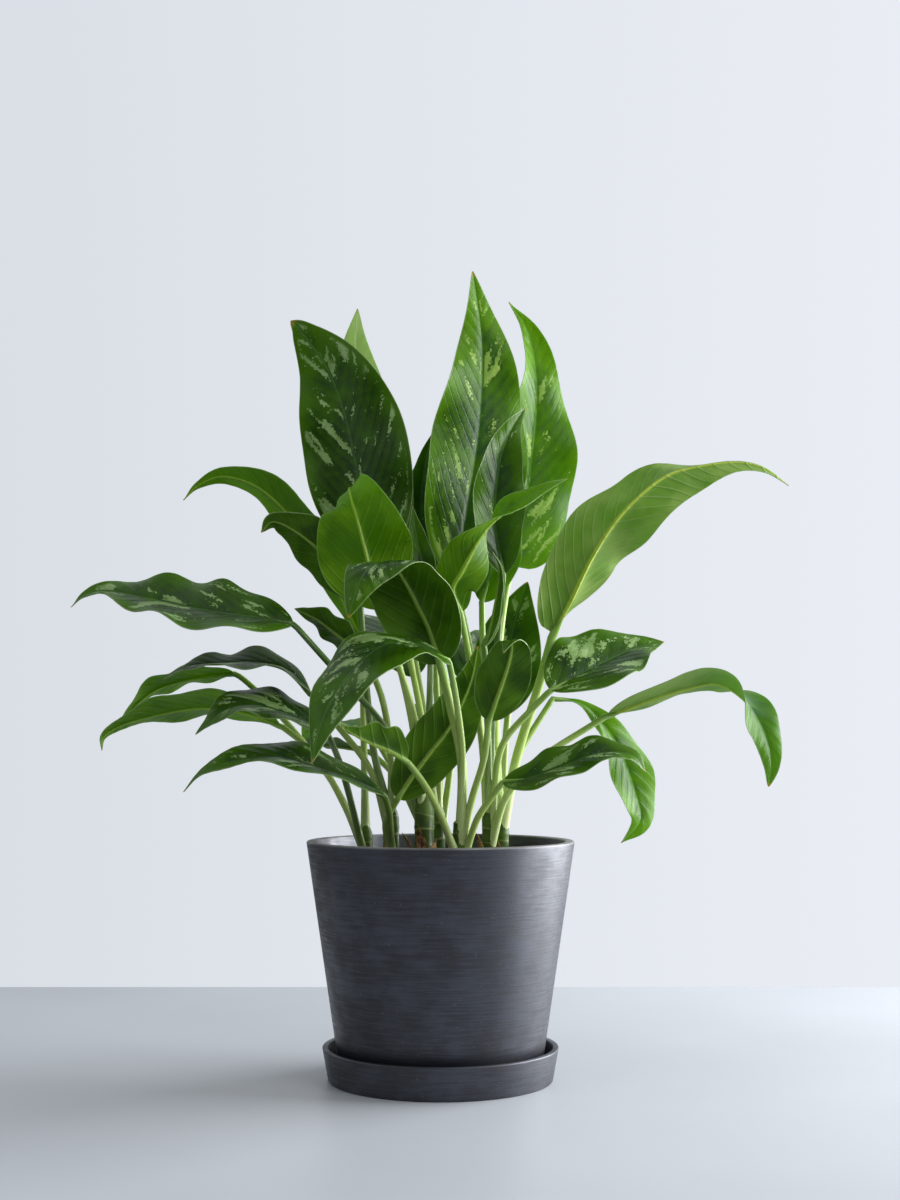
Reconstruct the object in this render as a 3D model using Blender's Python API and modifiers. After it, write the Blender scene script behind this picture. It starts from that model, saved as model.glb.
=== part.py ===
"""A potted chinese evergreen: a pot on its saucer, the soil, the leafy shoots and the leaf blades.

Metres, +Z up. The origin is the middle of the saucer's flat foot, and the front looks along -Y.
"""

from dataclasses import dataclass
from math import cos, log, pi, radians, sin, tan

import bmesh
import bpy
import numpy as np
from mathutils import Quaternion, Vector

MM = 0.001
GAP = 0.3
MERGE = 0.00001

# Saucer, in millimetres
SAUCER_HEIGHT = 25.0
SAUCER_FOOT_RADIUS = 83.8
SAUCER_RIM_RADIUS = 88.2
SAUCER_WALL = 4.5
SAUCER_FLOOR = 3.2
SAUCER_EDGE = 1.0
SAUCER_HOLLOW_EDGE = 2.0

# Pot, in millimetres
POT_RIM_RADIUS = 100.0
POT_FOOT_RADIUS = 75.0
POT_TOP = 178.0
POT_WALL = 7.0
POT_FLOOR = 6.0
POT_EDGE = 2.0
POT_LIP_EDGE = 0.5
POT_LIP_SLOPE = 1.0
DRAIN_RADIUS = 9.0
POT_BASE = SAUCER_FLOOR + GAP

# Soil and the feet of the canes in it, in millimetres
SOIL_TOP = 153.0
SOIL_CROWN = 3.0
SOIL_SHOULDER = 0.6
SOIL_BOTTOM = POT_BASE + POT_FLOOR + GAP
CANE_FOOT = 80.0
HOLE_REACH = 12.0

TURN_STEPS = 40
CANE_SIDES = 10

# Leaf blades and stalks, in millimetres
BLADE_THICKNESS = 0.8
BLADE_CELLS_ALONG = 12
BLADE_CELLS_ACROSS = 4
BLADE_BLUNT = 1.6
RIPPLE_START_LEFT = 2.1
RIPPLE_START_RIGHT = 0.4
STALK_SECTIONS = 7
STALK_LEAD = 4.0
STALK_TAPER = 0.35
SHEATH_SHARE = 0.35
CURVE_FINENESS = 12

# A stalk's route is rounded by taking the mean over neighbouring steps
ROUTE_STEPS = 84
ROUTE_REACH = 9
ROUTE_PASSES = 2

# The eye from whose place across and up are read on the plane through the pot's axis
EYE_DISTANCE = 1240.0
EYE_HEIGHT = 249.0

TONES = {
    "dark": (0.035, 0.095, 0.035),
    "bright": (0.060, 0.260, 0.020),
    "pale": (0.120, 0.300, 0.080),
    "stalk": (0.280, 0.440, 0.110),
    "pot": (0.040, 0.042, 0.048),
    "soil": (0.050, 0.030, 0.018),
}
ROUGHNESS = {"pot": 0.55, "soil": 0.95, "stalk": 0.5, "blade": 0.4}


@dataclass(frozen=True)
class Shoot:
    """A cane that stands in the soil, with the stalks of its leaves."""

    name: str
    across: float
    back: float
    radius: float
    top: float


@dataclass(frozen=True)
class Leaf:
    """A blade and its stalk. Points are (across, up, back) as the eye reads them.

    The roll turns the blade about its midrib, in degrees, at even steps from base to tip. The lean
    makes one half of the blade wider and the other narrower by that share.
    """

    name: str
    shoot: str
    spine: tuple
    half_width: float
    face: tuple
    stalk: tuple
    root: float
    tone: str = "dark"
    fold: float = 14.0
    arch: float = 0.12
    roll: tuple = (0.0, 0.0)
    lean: float = 0.0
    ripple: float = 2.2
    waves: float = 3.0
    sheath: float = 4.2
    stout: float = 2.2
    widest: float = 0.41
    fullness: float = 0.7
    drawn: float = 0.55


SHOOTS = (
    Shoot("shoot_left", -56, 6, 5.5, 190),
    Shoot("shoot_middle_left", -36, -8, 5.5, 205),
    Shoot("shoot_centre", -12, -18, 7.5, 216),
    Shoot("shoot_back", -2, 38, 6.0, 205),
    Shoot("shoot_cut", 14, -38, 5.0, 194),
    Shoot("shoot_right_centre", 36, -8, 5.5, 206),
    Shoot("shoot_right", 46, 18, 6.0, 200),
)

LEAVES = (
    # Tall leaves at the top
    Leaf(
        "leaf_back_left_tall", "shoot_centre",
        ((-47, 380, 10), (-58, 432, 18), (-70, 490, 24), (-84, 529, 28), (-103, 557, 30), (-112, 566, 26)),
        43, (-0.2, -1.0, 0.2), ((-29, 301, 6), (-21, 269, -4)), 196,
        widest=0.44, fullness=0.64, drawn=0.35, lean=0.07, ripple=3.0,
    ),
    Leaf(
        "leaf_back_left_pale", "shoot_back",
        ((-36, 380, 46), (-50, 440, 56), (-60, 495, 64), (-64, 545, 70), (-62, 575, 76)),
        33, (0.1, 1.0, 0.2), ((-26, 330, 44), (-12, 260, 40)), 185, tone="pale",
    ),
    Leaf(
        "leaf_centre_tall", "shoot_right_centre",
        ((12, 372, 18), (21, 432, 24), (29, 488, 30), (31, 548, 34), (24, 603, 30)),
        43, (0.45, -0.9, 0.15), ((16, 348, 16), (25, 310, 12), (31, 255, 4)), 192, tone="bright",
        ripple=3.6, widest=0.37,
    ),
    Leaf(
        "leaf_centre_right_dark", "shoot_right_centre",
        ((47, 377, -2), (41, 417, -6), (44, 458, -8), (52, 483, -6), (63, 501, 0)),
        23, (0.35, -0.9, 0.15), ((44, 345, 0), (39, 285, 2)), 186, fold=24,
    ),
    Leaf(
        "leaf_centre_hidden", "shoot_back",
        ((-6, 357, 54), (-12, 387, 60), (-15, 425, 62), (-12, 458, 62), (-6, 482, 60)),
        20, (-0.5, -0.8, 0.2), ((-4, 310, 50), (-1, 250, 42)), 175,
    ),
    Leaf(
        "leaf_centre_small", "shoot_centre",
        ((-9, 357, 0), (-13, 383, 2), (-18, 406, 4), (-21, 428, 6)),
        10, (0.1, -1.0, 0.2), ((-7, 315, 0), (-9, 255, -10)), 188, fold=20, ripple=1.0,
    ),
    Leaf(
        "leaf_right_tall", "shoot_right",
        ((53, 383, 60), (64, 430, 70), (69, 470, 76), (72, 515, 78), (66, 556, 78), (51, 580, 72)),
        40, (0.62, -0.78, 0.1), ((45, 340, 40), (41, 270, 26)), 180, tone="bright", fold=22,
        widest=0.3, fullness=0.62, drawn=0.8, ripple=5.0, waves=2.6,
    ),
    Leaf(
        "leaf_right_inner", "shoot_right",
        ((31, 356, 15), (41, 387, 16), (48, 417, 17), (52, 447, 18)),
        19, (0.3, -0.9, 0.2), ((31, 325, 14), (36, 265, 16)), 176, tone="bright",
    ),
    # Leaves in front of the middle
    Leaf(
        "leaf_front_left_bright", "shoot_centre",
        ((-45, 350, -40), (-54, 385, -56), (-61, 413, -67), (-66, 431, -71), (-68, 440, -62),
         (-67, 440, -46), (-65, 433, -34)),
        35, (-0.1, 1.0, 0.2), ((-30, 304, -34), (-18, 270, -28)), 180, tone="bright", fold=10,
        widest=0.36, fullness=1.05, drawn=0.2, ripple=3.4, roll=(0, 0, -8, -32, -36),
    ),
    Leaf(
        "leaf_centre_folded", "shoot_right_centre",
        ((15, 348, -36), (9, 365, -42), (16, 379, -47), (28, 402, -52), (37, 414, -53), (49, 424, -52),
         (61, 432, -49), (77, 441, -44), (95, 448, -38)),
        19, (-0.2, 1.0, 0.1), ((19, 328, -28), (24, 300, -14), (31, 255, -8)), 178, tone="bright",
        roll=(0, 0, 75, 135, 140), widest=0.3, fullness=0.8,
    ),
    Leaf(
        "leaf_front_centre_big", "shoot_cut",
        ((0, 310, -46), (-9, 336, -56), (-17, 353, -64), (-24, 367, -72), (-33, 381, -84),
         (-43, 386, -98), (-54, 381, -111), (-62, 367, -120), (-69, 344, -124)),
        29, (0.1, 0.9, 0.4), ((6, 284, -46), (17, 238, -42)), 170, fold=3, arch=0.28, stout=3.2, sheath=4.6,
        widest=0.36, roll=(0, 0, -8, -45, -60), drawn=0.3,
    ),
    Leaf(
        "leaf_young_furled", "shoot_right_centre",
        ((33, 323, -22), (38, 338, -22), (42, 360, -22), (44, 380, -22), (39, 393, -24)),
        6.5, (1.0, -0.2, 0.0), ((34, 290, -20), (36, 250, -14)), 194, fold=44, ripple=0.3,
    ),
    Leaf(
        "leaf_front_left", "shoot_cut",
        ((6, 313, -62), (-16, 323, -80), (-39, 325, -100), (-59, 312, -121), (-76, 292, -138),
         (-88, 268, -149), (-96, 236, -155)),
        33, (-0.3, -0.5, 0.8), ((11, 290, -54), (17, 245, -46)), 180, fold=8, lean=-0.12, drawn=0.5,
        roll=(-26, -14, 0, 0, 0),
    ),
    # Leaves to the left
    Leaf(
        "leaf_left_mid", "shoot_middle_left",
        ((-60, 357, -10), (-82, 386, -18), (-104, 406, -22), (-124, 416, -22), (-134, 408, -20)),
        24, (-0.1, 0.6, 0.75), ((-56, 300, -6), (-51, 245, -4)), 190,
    ),
    Leaf(
        "leaf_far_left_upper", "shoot_left",
        ((-58, 326, 18), (-70, 352, 20), (-84, 380, 22), (-104, 411, 28), (-133, 440, 36), (-161, 450, 42),
         (-181, 443, 45), (-192, 432, 46)),
        23, (-0.3, 0.4, 0.85), ((-58, 290, 22), (-57, 240, 14)), 176, tone="bright", drawn=0.85,
        widest=0.46,
    ),
    Leaf(
        "leaf_left_inner", "shoot_middle_left",
        ((-59, 318, 2), (-75, 330, 6), (-92, 343, 12), (-109, 351, 18)),
        16, (0.2, 0.7, 0.7), ((-44, 290, 0), (-37, 250, -4)), 184,
    ),
    Leaf(
        "leaf_left_big", "shoot_centre",
        ((-110, 340, -22), (-139, 345, -28), (-176, 350, -30), (-220, 359, -26), (-248, 364, -22),
         (-266, 361, -20), (-276, 352, -20)),
        37, (0.0, -0.53, 0.85), ((-77, 303, -16), (-34, 256, -16)), 186, fold=16, ripple=4.0, waves=3.6,
        drawn=0.85,
    ),
    Leaf(
        "leaf_left_arching", "shoot_middle_left",
        ((-97, 288, -10), (-116, 306, -18), (-139, 311, -22), (-161, 310, -24), (-187, 308, -24),
         (-207, 298, -22)),
        29, (0.0, -0.28, 0.96), ((-74, 260, -8), (-51, 232, -8)), 178, ripple=2.8,
    ),
    Leaf(
        "leaf_left_back", "shoot_left",
        ((-154, 303, 36), (-171, 301, 38), (-194, 297, 40), (-217, 288, 40), (-239, 267, 40)),
        21, (-0.2, 0.3, 0.9), ((-139, 293, 34), (-105, 255, 26), (-75, 215, 14)), 168, tone="bright",
    ),
    Leaf(
        "leaf_left_low", "shoot_left",
        ((-120, 264, 8), (-146, 273, 10), (-177, 277, 12), (-206, 273, 14), (-236, 265, 14),
         (-251, 256, 13), (-253, 245, 12)),
        28, (0.0, 0.36, 0.93), ((-98, 248, 8), (-81, 223, 8)), 172, tone="bright", drawn=0.7,
    ),
    Leaf(
        "leaf_left_glossy", "shoot_left",
        ((-86, 261, -30), (-112, 272, -38), (-139, 279, -44), (-161, 275, -48), (-183, 257, -50)),
        31, (0.0, -0.38, 0.93), ((-76, 240, -22), (-68, 212, -10)), 164,
    ),
    Leaf(
        "leaf_left_lowest", "shoot_middle_left",
        ((-42, 212, -45), (-63, 223, -56), (-90, 232, -66), (-121, 240, -72), (-150, 238, -76),
         (-176, 230, -78), (-192, 214, -78)),
        31, (0.0, -0.3, 0.95), ((-38, 200, -34),), 166, drawn=0.7,
    ),
    Leaf(
        "leaf_left_behind", "shoot_back",
        ((-54, 245, 52), (-75, 248, 60), (-97, 250, 66), (-115, 251, 70)),
        18, (0.0, 0.2, 1.0), ((-36, 230, 46),), 172,
    ),
    # Leaves low in the middle
    Leaf(
        "leaf_front_low_folded", "shoot_cut",
        ((-26, 238, -62), (-39, 245, -72), (-53, 251, -82), (-65, 257, -91), (-74, 263, -98)),
        15, (0.0, 0.25, 1.0), ((-13, 222, -56), (-1, 200, -50)), 162, fold=46,
    ),
    Leaf(
        "leaf_centre_low", "shoot_middle_left",
        ((-32, 209, -30), (-23, 223, -31), (-9, 242, -31), (5, 260, -31), (15, 278, -32), (23, 298, -33),
         (28, 323, -34)),
        22, (-0.1, 1.0, 0.15), ((-42, 192, -22),), 160, fullness=0.6, fold=8, ripple=1.6,
    ),
    Leaf(
        "leaf_front_right_upright", "shoot_cut",
        ((36, 267, -56), (42, 284, -62), (49, 304, -68), (53, 320, -75), (52, 327, -84), (47, 318, -92)),
        20, (0.0, 1.0, 0.3), ((33, 238, -50), (24, 212, -42)), 172, drawn=0.6,
    ),
    Leaf(
        "leaf_right_centre_behind", "shoot_right",
        ((41, 271, 52), (48, 305, 60), (54, 335, 64), (60, 356, 66), (65, 371, 66)),
        28, (0.0, -1.0, 0.3), ((42, 240, 34),), 176, fullness=0.6,
    ),
    # Leaves to the right
    Leaf(
        "leaf_right_big", "shoot_right",
        ((84, 333, 0), (97, 357, -10), (113, 389, -20), (130, 415, -24), (150, 436, -24),
         (169, 450, -20), (189, 456, -14), (219, 460, -6), (242, 456, -2), (260, 443, 2)),
        31, (-0.3, 0.9, 0.3), ((73, 291, 8), (57, 243, 12)), 184, tone="pale", fold=28,
        roll=(35, 0, -46, -64, -72), sheath=5.4, stout=3.2, widest=0.3, fullness=0.6, drawn=0.92, ripple=3.0,
    ),
    Leaf(
        "leaf_right_glossy", "shoot_right_centre",
        ((82, 290, -28), (105, 303, -16), (124, 312, 0), (144, 321, 16), (167, 326, 28)),
        36, (-0.2, -0.75, 0.65), ((44, 251, -18),), 180, fold=20,
    ),
    Leaf(
        "leaf_right_drooping", "shoot_right",
        ((84, 284, 44), (104, 281, 48), (119, 268, 52), (134, 246, 56), (146, 212, 60), (149, 192, 60),
         (135, 176, 58)),
        25, (0.6, -0.75, 0.2), ((56, 240, 28),), 170, tone="bright", widest=0.66, fullness=1.0,
    ),
    Leaf(
        "leaf_far_right", "shoot_right_centre",
        ((126, 272, -10), (143, 278, -14), (165, 286, -16), (186, 292, -16), (207, 295, -16),
         (226, 284, -16), (238, 267, -16), (245, 249, -16), (247, 233, -16), (245, 218, -16)),
        24, (0.0, 0.35, 0.93), ((74, 240, -18), (47, 212, -16)), 170, roll=(0, 0, 8, 85, 100),
        widest=0.46, fullness=0.6, drawn=0.5,
    ),
    Leaf(
        "leaf_right_lowest", "shoot_cut",
        ((47, 222, -52), (66, 225, -60), (92, 234, -68), (118, 243, -74), (142, 242, -76),
         (153, 229, -78)),
        25, (0.0, -0.48, 0.86), ((27, 195, -46),), 158,
    ),
    # Leaves at the back, where the front ones hide them
    Leaf(
        "leaf_rear_left", "shoot_back",
        ((-20, 300, 70), (-33, 328, 95), (-44, 344, 130), (-50, 340, 165), (-54, 322, 190)),
        30, (-0.2, 0.3, 0.9), ((-8, 255, 50),), 166,
    ),
    Leaf(
        "leaf_rear_right", "shoot_back",
        ((20, 296, 78), (30, 318, 106), (42, 329, 138), (52, 327, 170), (58, 314, 194)),
        28, (0.2, 0.3, 0.9), ((10, 250, 50),), 160,
    ),
    Leaf(
        "leaf_rear_low", "shoot_back",
        ((2, 252, 66), (4, 272, 95), (6, 278, 130), (8, 270, 165), (8, 252, 190)),
        28, (0.0, 0.2, 1.0), ((0, 225, 54),), 156,
    ),
    Leaf(
        "leaf_rear_upright", "shoot_back",
        ((2, 340, 76), (4, 378, 96), (6, 415, 108), (8, 452, 112), (8, 480, 108)),
        25, (0.1, -1.0, 0.3), ((0, 270, 56),), 190,
    ),
    Leaf(
        "leaf_rear_left_low", "shoot_back",
        ((-46, 250, 66), (-62, 262, 92), (-78, 266, 122), (-92, 258, 152), (-98, 240, 176)),
        27, (-0.2, 0.3, 0.9), ((-30, 222, 50),), 158, tone="bright",
    ),
    Leaf(
        "leaf_rear_left_high", "shoot_back",
        ((-36, 385, 86), (-45, 418, 108), (-52, 436, 138), (-58, 436, 168), (-62, 418, 192)),
        30, (-0.2, 0.4, 0.9), ((-22, 330, 74), (-10, 262, 54)), 182,
    ),
    Leaf(
        "leaf_rear_right_high", "shoot_right",
        ((42, 395, 92), (50, 428, 112), (56, 446, 142), (60, 444, 172), (64, 426, 196)),
        28, (0.2, 0.4, 0.9), ((45, 340, 84), (54, 300, 76), (48, 255, 62)), 172, tone="bright",
    ),
)


def placed(point):
    """World place of a point read as across, up and back."""
    across, up, back = point
    spread = (EYE_DISTANCE + back) / EYE_DISTANCE
    return Vector((across * spread, back, EYE_HEIGHT + (up - EYE_HEIGHT) * spread)) * MM


def smooth_path(points, sections):
    """Evenly spaced places on a smooth curve through the points."""
    ends = [2 * points[0] - points[1], *points, 2 * points[-1] - points[-2]]
    dense = []
    for before, start, end, after in zip(ends, ends[1:], ends[2:], ends[3:]):
        for step in range(CURVE_FINENESS):
            f = step / CURVE_FINENESS
            dense.append(
                0.5 * (2 * start + (end - before) * f + (2 * before - 5 * start + 4 * end - after) * f**2
                       + (3 * start - before - 3 * end + after) * f**3)
            )
    dense.append(points[-1].copy())
    run = [0.0]
    for here, there in zip(dense, dense[1:]):
        run.append(run[-1] + (there - here).length)
    places = []
    index = 0
    for section in range(sections + 1):
        goal = run[-1] * section / sections
        while index < len(run) - 2 and run[index + 1] < goal:
            index += 1
        share = (goal - run[index]) / (run[index + 1] - run[index])
        places.append(dense[index].lerp(dense[index + 1], share))
    return places


def rounded_route(points, sections):
    """Evenly spaced places on a route of straight stretches, its corners rounded."""
    run = np.cumsum([0.0] + [(there - here).length for here, there in zip(points, points[1:])])
    corners = np.array([point[:] for point in points])
    even = np.linspace(0.0, run[-1], ROUTE_STEPS + 1)
    dense = np.column_stack([np.interp(even, run, corners[:, axis]) for axis in range(3)])
    for _ in range(ROUTE_PASSES):
        calmed = dense.copy()
        for index in range(1, ROUTE_STEPS):
            reach = min(index, ROUTE_STEPS - index, ROUTE_REACH)
            calmed[index] = dense[index - reach:index + reach + 1].mean(axis=0)
        dense = calmed
    return [Vector(dense[round(section * ROUTE_STEPS / sections)]) for section in range(sections + 1)]


def eased(values, share):
    """Value at a share of the way along evenly spaced ones, with soft changes between them."""
    spans = len(values) - 1
    index = min(int(share * spans), spans - 1)
    part = share * spans - index
    part = part**2 * (3 - 2 * part)
    return values[index] * (1 - part) + values[index + 1] * part


def blade_frames(leaf, sections):
    """Place, tangent and top normal at each station from the blade's base to its tip."""
    places = smooth_path([placed(point) for point in leaf.spine], sections)
    tangents = []
    for index in range(sections + 1):
        ahead = places[min(index + 1, sections)]
        behind = places[max(index - 1, 0)]
        tangents.append((ahead - behind).normalized())
    middle = sections // 2
    face = Vector(leaf.face)
    normals = [None] * (sections + 1)
    normals[middle] = (face - face.dot(tangents[middle]) * tangents[middle]).normalized()
    for index in range(middle + 1, sections + 1):
        turn = tangents[index - 1].rotation_difference(tangents[index])
        normals[index] = turn @ normals[index - 1]
    for index in range(middle - 1, -1, -1):
        turn = tangents[index + 1].rotation_difference(tangents[index])
        normals[index] = turn @ normals[index + 1]
    frames = []
    for index, (place, tangent, normal) in enumerate(zip(places, tangents, normals)):
        turn = Quaternion(tangent, radians(eased(leaf.roll, index / sections)))
        frames.append((place, tangent, turn @ normal))
    return frames


def outline(leaf, share):
    """Share of the half width along the blade: rounded base, one widest place, drawn tip."""
    lean = log(0.5) / log(leaf.widest)
    swell = max(sin(pi * share**lean), 0.0) ** leaf.fullness
    return swell * (1 - leaf.drawn * share**4)


def blade_place(leaf, frame, share, across):
    """Place on the blade's middle surface, with across from -1 to 1."""
    place, tangent, normal = frame
    side = tangent.cross(normal)
    half = max(leaf.half_width * outline(leaf, share), BLADE_BLUNT) * MM
    half *= 1 + leaf.lean * across
    rise = half * (tan(radians(leaf.fold)) * abs(across) - leaf.arch * across**2)
    phase = RIPPLE_START_LEFT if across < 0 else RIPPLE_START_RIGHT
    wave = sin(2 * pi * leaf.waves * share + phase) * across**2 * sin(pi * share)
    reach = cos(radians(leaf.fold)) * half * across
    return place + side * reach + normal * (rise + leaf.ripple * MM * wave)


def material(name, tone, roughness):
    """A plain finish in one of the tones."""
    finish = bpy.data.materials.new(name)
    finish.use_nodes = True
    shader = finish.node_tree.nodes["Principled BSDF"]
    shader.inputs["Base Color"].default_value = (*TONES[tone], 1.0)
    shader.inputs["Roughness"].default_value = roughness
    shader.inputs["Metallic"].default_value = 0.0
    return finish


def new_object(name, mesh, collection, finish=None):
    """An object for the mesh, in the collection."""
    body = bpy.data.objects.new(name, mesh)
    collection.objects.link(body)
    if finish:
        mesh.materials.append(finish)
    return body


def settle(body):
    """The object's mesh as its modifiers make it, with the modifiers gone."""
    depsgraph = bpy.context.evaluated_depsgraph_get()
    mesh = bpy.data.meshes.new_from_object(body.evaluated_get(depsgraph))
    body.modifiers.clear()
    body.data = mesh


def turned(name, profile, closed, collection, finish):
    """A solid turned from (radius, height) points that run down its outer side."""
    mesh = bpy.data.meshes.new(name)
    edges = [(index, index + 1) for index in range(len(profile) - 1)]
    if closed:
        edges.append((len(profile) - 1, 0))
    mesh.from_pydata([(radius * MM, 0, height * MM) for radius, height in profile], edges, [])
    body = new_object(name, mesh, collection, finish)
    screw = body.modifiers.new("turn", "SCREW")
    screw.angle = 2 * pi
    screw.steps = TURN_STEPS
    screw.render_steps = TURN_STEPS
    screw.use_merge_vertices = True
    screw.merge_threshold = MERGE
    screw.use_smooth_shade = True
    return body


def pot_radius(height):
    """Outer radius of the pot's straight taper."""
    share = (height - POT_BASE) / (POT_TOP - POT_BASE)
    return POT_FOOT_RADIUS + (POT_RIM_RADIUS - POT_FOOT_RADIUS) * share


def build_saucer(collection):
    """Flared saucer with a flat foot."""
    inner_foot = SAUCER_FOOT_RADIUS - SAUCER_WALL
    inner_rim = SAUCER_RIM_RADIUS - SAUCER_WALL
    profile = (
        (SAUCER_RIM_RADIUS - SAUCER_EDGE, SAUCER_HEIGHT),
        (SAUCER_RIM_RADIUS, SAUCER_HEIGHT - SAUCER_EDGE),
        (SAUCER_FOOT_RADIUS + SAUCER_EDGE, SAUCER_EDGE),
        (SAUCER_FOOT_RADIUS - SAUCER_EDGE, 0),
        (0, 0),
        (0, SAUCER_FLOOR),
        (inner_foot - SAUCER_HOLLOW_EDGE, SAUCER_FLOOR),
        (inner_foot, SAUCER_FLOOR + SAUCER_HOLLOW_EDGE),
        (inner_rim, SAUCER_HEIGHT - SAUCER_EDGE),
        (inner_rim + SAUCER_EDGE, SAUCER_HEIGHT),
    )
    body = turned("saucer", profile, True, collection, material("saucer_plastic", "pot", ROUGHNESS["pot"]))
    mesh = body.data
    work = bmesh.new()
    work.from_mesh(mesh)
    axis_edge = [edge for edge in work.edges if all(abs(vert.co.x) < MERGE for vert in edge.verts)]
    bmesh.ops.delete(work, geom=axis_edge, context="EDGES")
    work.to_mesh(mesh)
    work.free()
    return body


def build_pot(collection):
    """Tapered pot with a rounded lip, a flat floor and a drain hole."""
    inner_floor = POT_BASE + POT_FLOOR
    profile = (
        (POT_RIM_RADIUS - POT_EDGE, POT_TOP),
        (pot_radius(POT_TOP - POT_EDGE), POT_TOP - POT_EDGE),
        (pot_radius(POT_BASE + POT_EDGE), POT_BASE + POT_EDGE),
        (POT_FOOT_RADIUS - POT_EDGE, POT_BASE),
        (DRAIN_RADIUS, POT_BASE),
        (DRAIN_RADIUS, inner_floor),
        (pot_radius(inner_floor) - POT_WALL, inner_floor),
        (POT_RIM_RADIUS - POT_WALL - POT_LIP_SLOPE, POT_TOP - POT_EDGE),
        (POT_RIM_RADIUS - POT_WALL + POT_LIP_EDGE, POT_TOP),
    )
    return turned("pot", profile, True, collection, material("pot_plastic", "pot", ROUGHNESS["pot"]))


def soil_radius(height):
    """Radius of the soil against the straight inside of the pot."""
    low = POT_BASE + POT_FLOOR
    high = POT_TOP - POT_EDGE
    low_radius = pot_radius(low) - POT_WALL
    high_radius = POT_RIM_RADIUS - POT_WALL - POT_LIP_SLOPE
    return low_radius + (high_radius - low_radius) * (height - low) / (high - low) - 2 * GAP


def cylinder(name, shoot, radius, low, high, collection):
    """An upright rod on the shoot's axis."""
    mesh = bpy.data.meshes.new(name)
    work = bmesh.new()
    bmesh.ops.create_cone(
        work, cap_ends=True, segments=CANE_SIDES,
        radius1=radius * MM, radius2=radius * MM, depth=(high - low) * MM,
    )
    middle = Vector((shoot.across, shoot.back, (low + high) / 2)) * MM
    bmesh.ops.translate(work, verts=work.verts, vec=middle)
    work.to_mesh(mesh)
    work.free()
    return new_object(name, mesh, collection)


def build_soil(collection, cutters):
    """Soil that fills the pot, with a plain hole for each cane."""
    profile = (
        (0, SOIL_TOP + SOIL_CROWN),
        (soil_radius(SOIL_TOP) * SOIL_SHOULDER, SOIL_TOP + SOIL_SHOULDER * SOIL_CROWN),
        (soil_radius(SOIL_TOP), SOIL_TOP),
        (soil_radius(SOIL_BOTTOM), SOIL_BOTTOM),
        (0, SOIL_BOTTOM),
    )
    body = turned("soil", profile, False, collection, material("soil_earth", "soil", ROUGHNESS["soil"]))
    for shoot in SHOOTS:
        cutter = cylinder(
            f"hole_{shoot.name}", shoot, shoot.radius + GAP, CANE_FOOT - GAP,
            SOIL_TOP + HOLE_REACH, cutters,
        )
        cutter.hide_render = True
        cutter.display_type = "WIRE"
        cut = body.modifiers.new(cutter.name, "BOOLEAN")
        cut.operation = "DIFFERENCE"
        cut.object = cutter
    return body


def stalk_mesh(leaf, shoot, collection):
    """A stalk from its sheath on the cane to just short of the blade."""
    base, tangent, _ = blade_frames(leaf, BLADE_CELLS_ALONG)[0]
    root = Vector((shoot.across, shoot.back, leaf.root)) * MM
    lead = base - tangent * STALK_LEAD * MM
    end = base - tangent * GAP * MM
    route = [root, *[placed(point) for point in reversed(leaf.stalk)], lead]
    curve = bpy.data.curves.new(leaf.name, "CURVE")
    curve.dimensions = "3D"
    curve.bevel_depth = MM
    curve.bevel_resolution = 1
    curve.use_fill_caps = True
    spline = curve.splines.new("POLY")
    places = [*rounded_route(route, STALK_SECTIONS - 1), end]
    spline.points.add(len(places) - 1)
    for index, (point, place) in enumerate(zip(spline.points, places)):
        share = index / (len(places) - 1)
        swell = max(0.0, 1 - share / SHEATH_SHARE)
        point.co = (*place, 1.0)
        swell = max(swell, STALK_TAPER * (1 - share))
        point.radius = leaf.stout + (leaf.sheath - leaf.stout) * swell
    tube = bpy.data.objects.new(leaf.name, curve)
    collection.objects.link(tube)
    depsgraph = bpy.context.evaluated_depsgraph_get()
    mesh = bpy.data.meshes.new_from_object(tube.evaluated_get(depsgraph))
    work = bmesh.new()
    work.from_mesh(mesh)
    bmesh.ops.remove_doubles(work, verts=work.verts, dist=MERGE)
    work.to_mesh(mesh)
    work.free()
    mesh.transform(tube.matrix_world)
    bpy.data.objects.remove(tube)
    return new_object(f"stalk_{leaf.name}", mesh, collection)


def build_shoot(shoot, collection, finish):
    """A cane with the stalks that grow from it, as one body."""
    cane = cylinder(shoot.name, shoot, shoot.radius, CANE_FOOT, shoot.top, collection)
    stalks = bpy.data.collections.new(f"stalks_{shoot.name}")
    bpy.context.scene.collection.children.link(stalks)
    for leaf in LEAVES:
        if leaf.shoot == shoot.name:
            stalk_mesh(leaf, shoot, stalks)
    union = cane.modifiers.new("grown together", "BOOLEAN")
    union.operation = "UNION"
    union.operand_type = "COLLECTION"
    union.collection = stalks
    settle(cane)
    for stalk in list(stalks.objects):
        bpy.data.objects.remove(stalk)
    bpy.data.collections.remove(stalks)
    cane.data.materials.clear()
    cane.data.materials.append(finish)
    cane.data.shade_smooth()
    return cane


def build_blade(leaf, collection):
    """A leaf blade with its fold and waved edges, of one thickness."""
    frames = blade_frames(leaf, BLADE_CELLS_ALONG)
    mesh = bpy.data.meshes.new(leaf.name)
    work = bmesh.new()
    bmesh.ops.create_grid(work, x_segments=BLADE_CELLS_ACROSS, y_segments=BLADE_CELLS_ALONG, size=1.0)
    for vert in work.verts:
        across = vert.co.x
        share = (vert.co.y + 1) / 2
        vert.co = blade_place(leaf, frames[round(share * BLADE_CELLS_ALONG)], share, across)
    bmesh.ops.triangulate(work, faces=work.faces)
    work.to_mesh(mesh)
    work.free()
    mesh.shade_smooth()
    skin = material(f"blade_{leaf.name}", leaf.tone, ROUGHNESS["blade"])
    body = new_object(leaf.name, mesh, collection, skin)
    solid = body.modifiers.new("thickness", "SOLIDIFY")
    solid.thickness = BLADE_THICKNESS * MM
    solid.offset = 0.0
    return body


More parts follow.
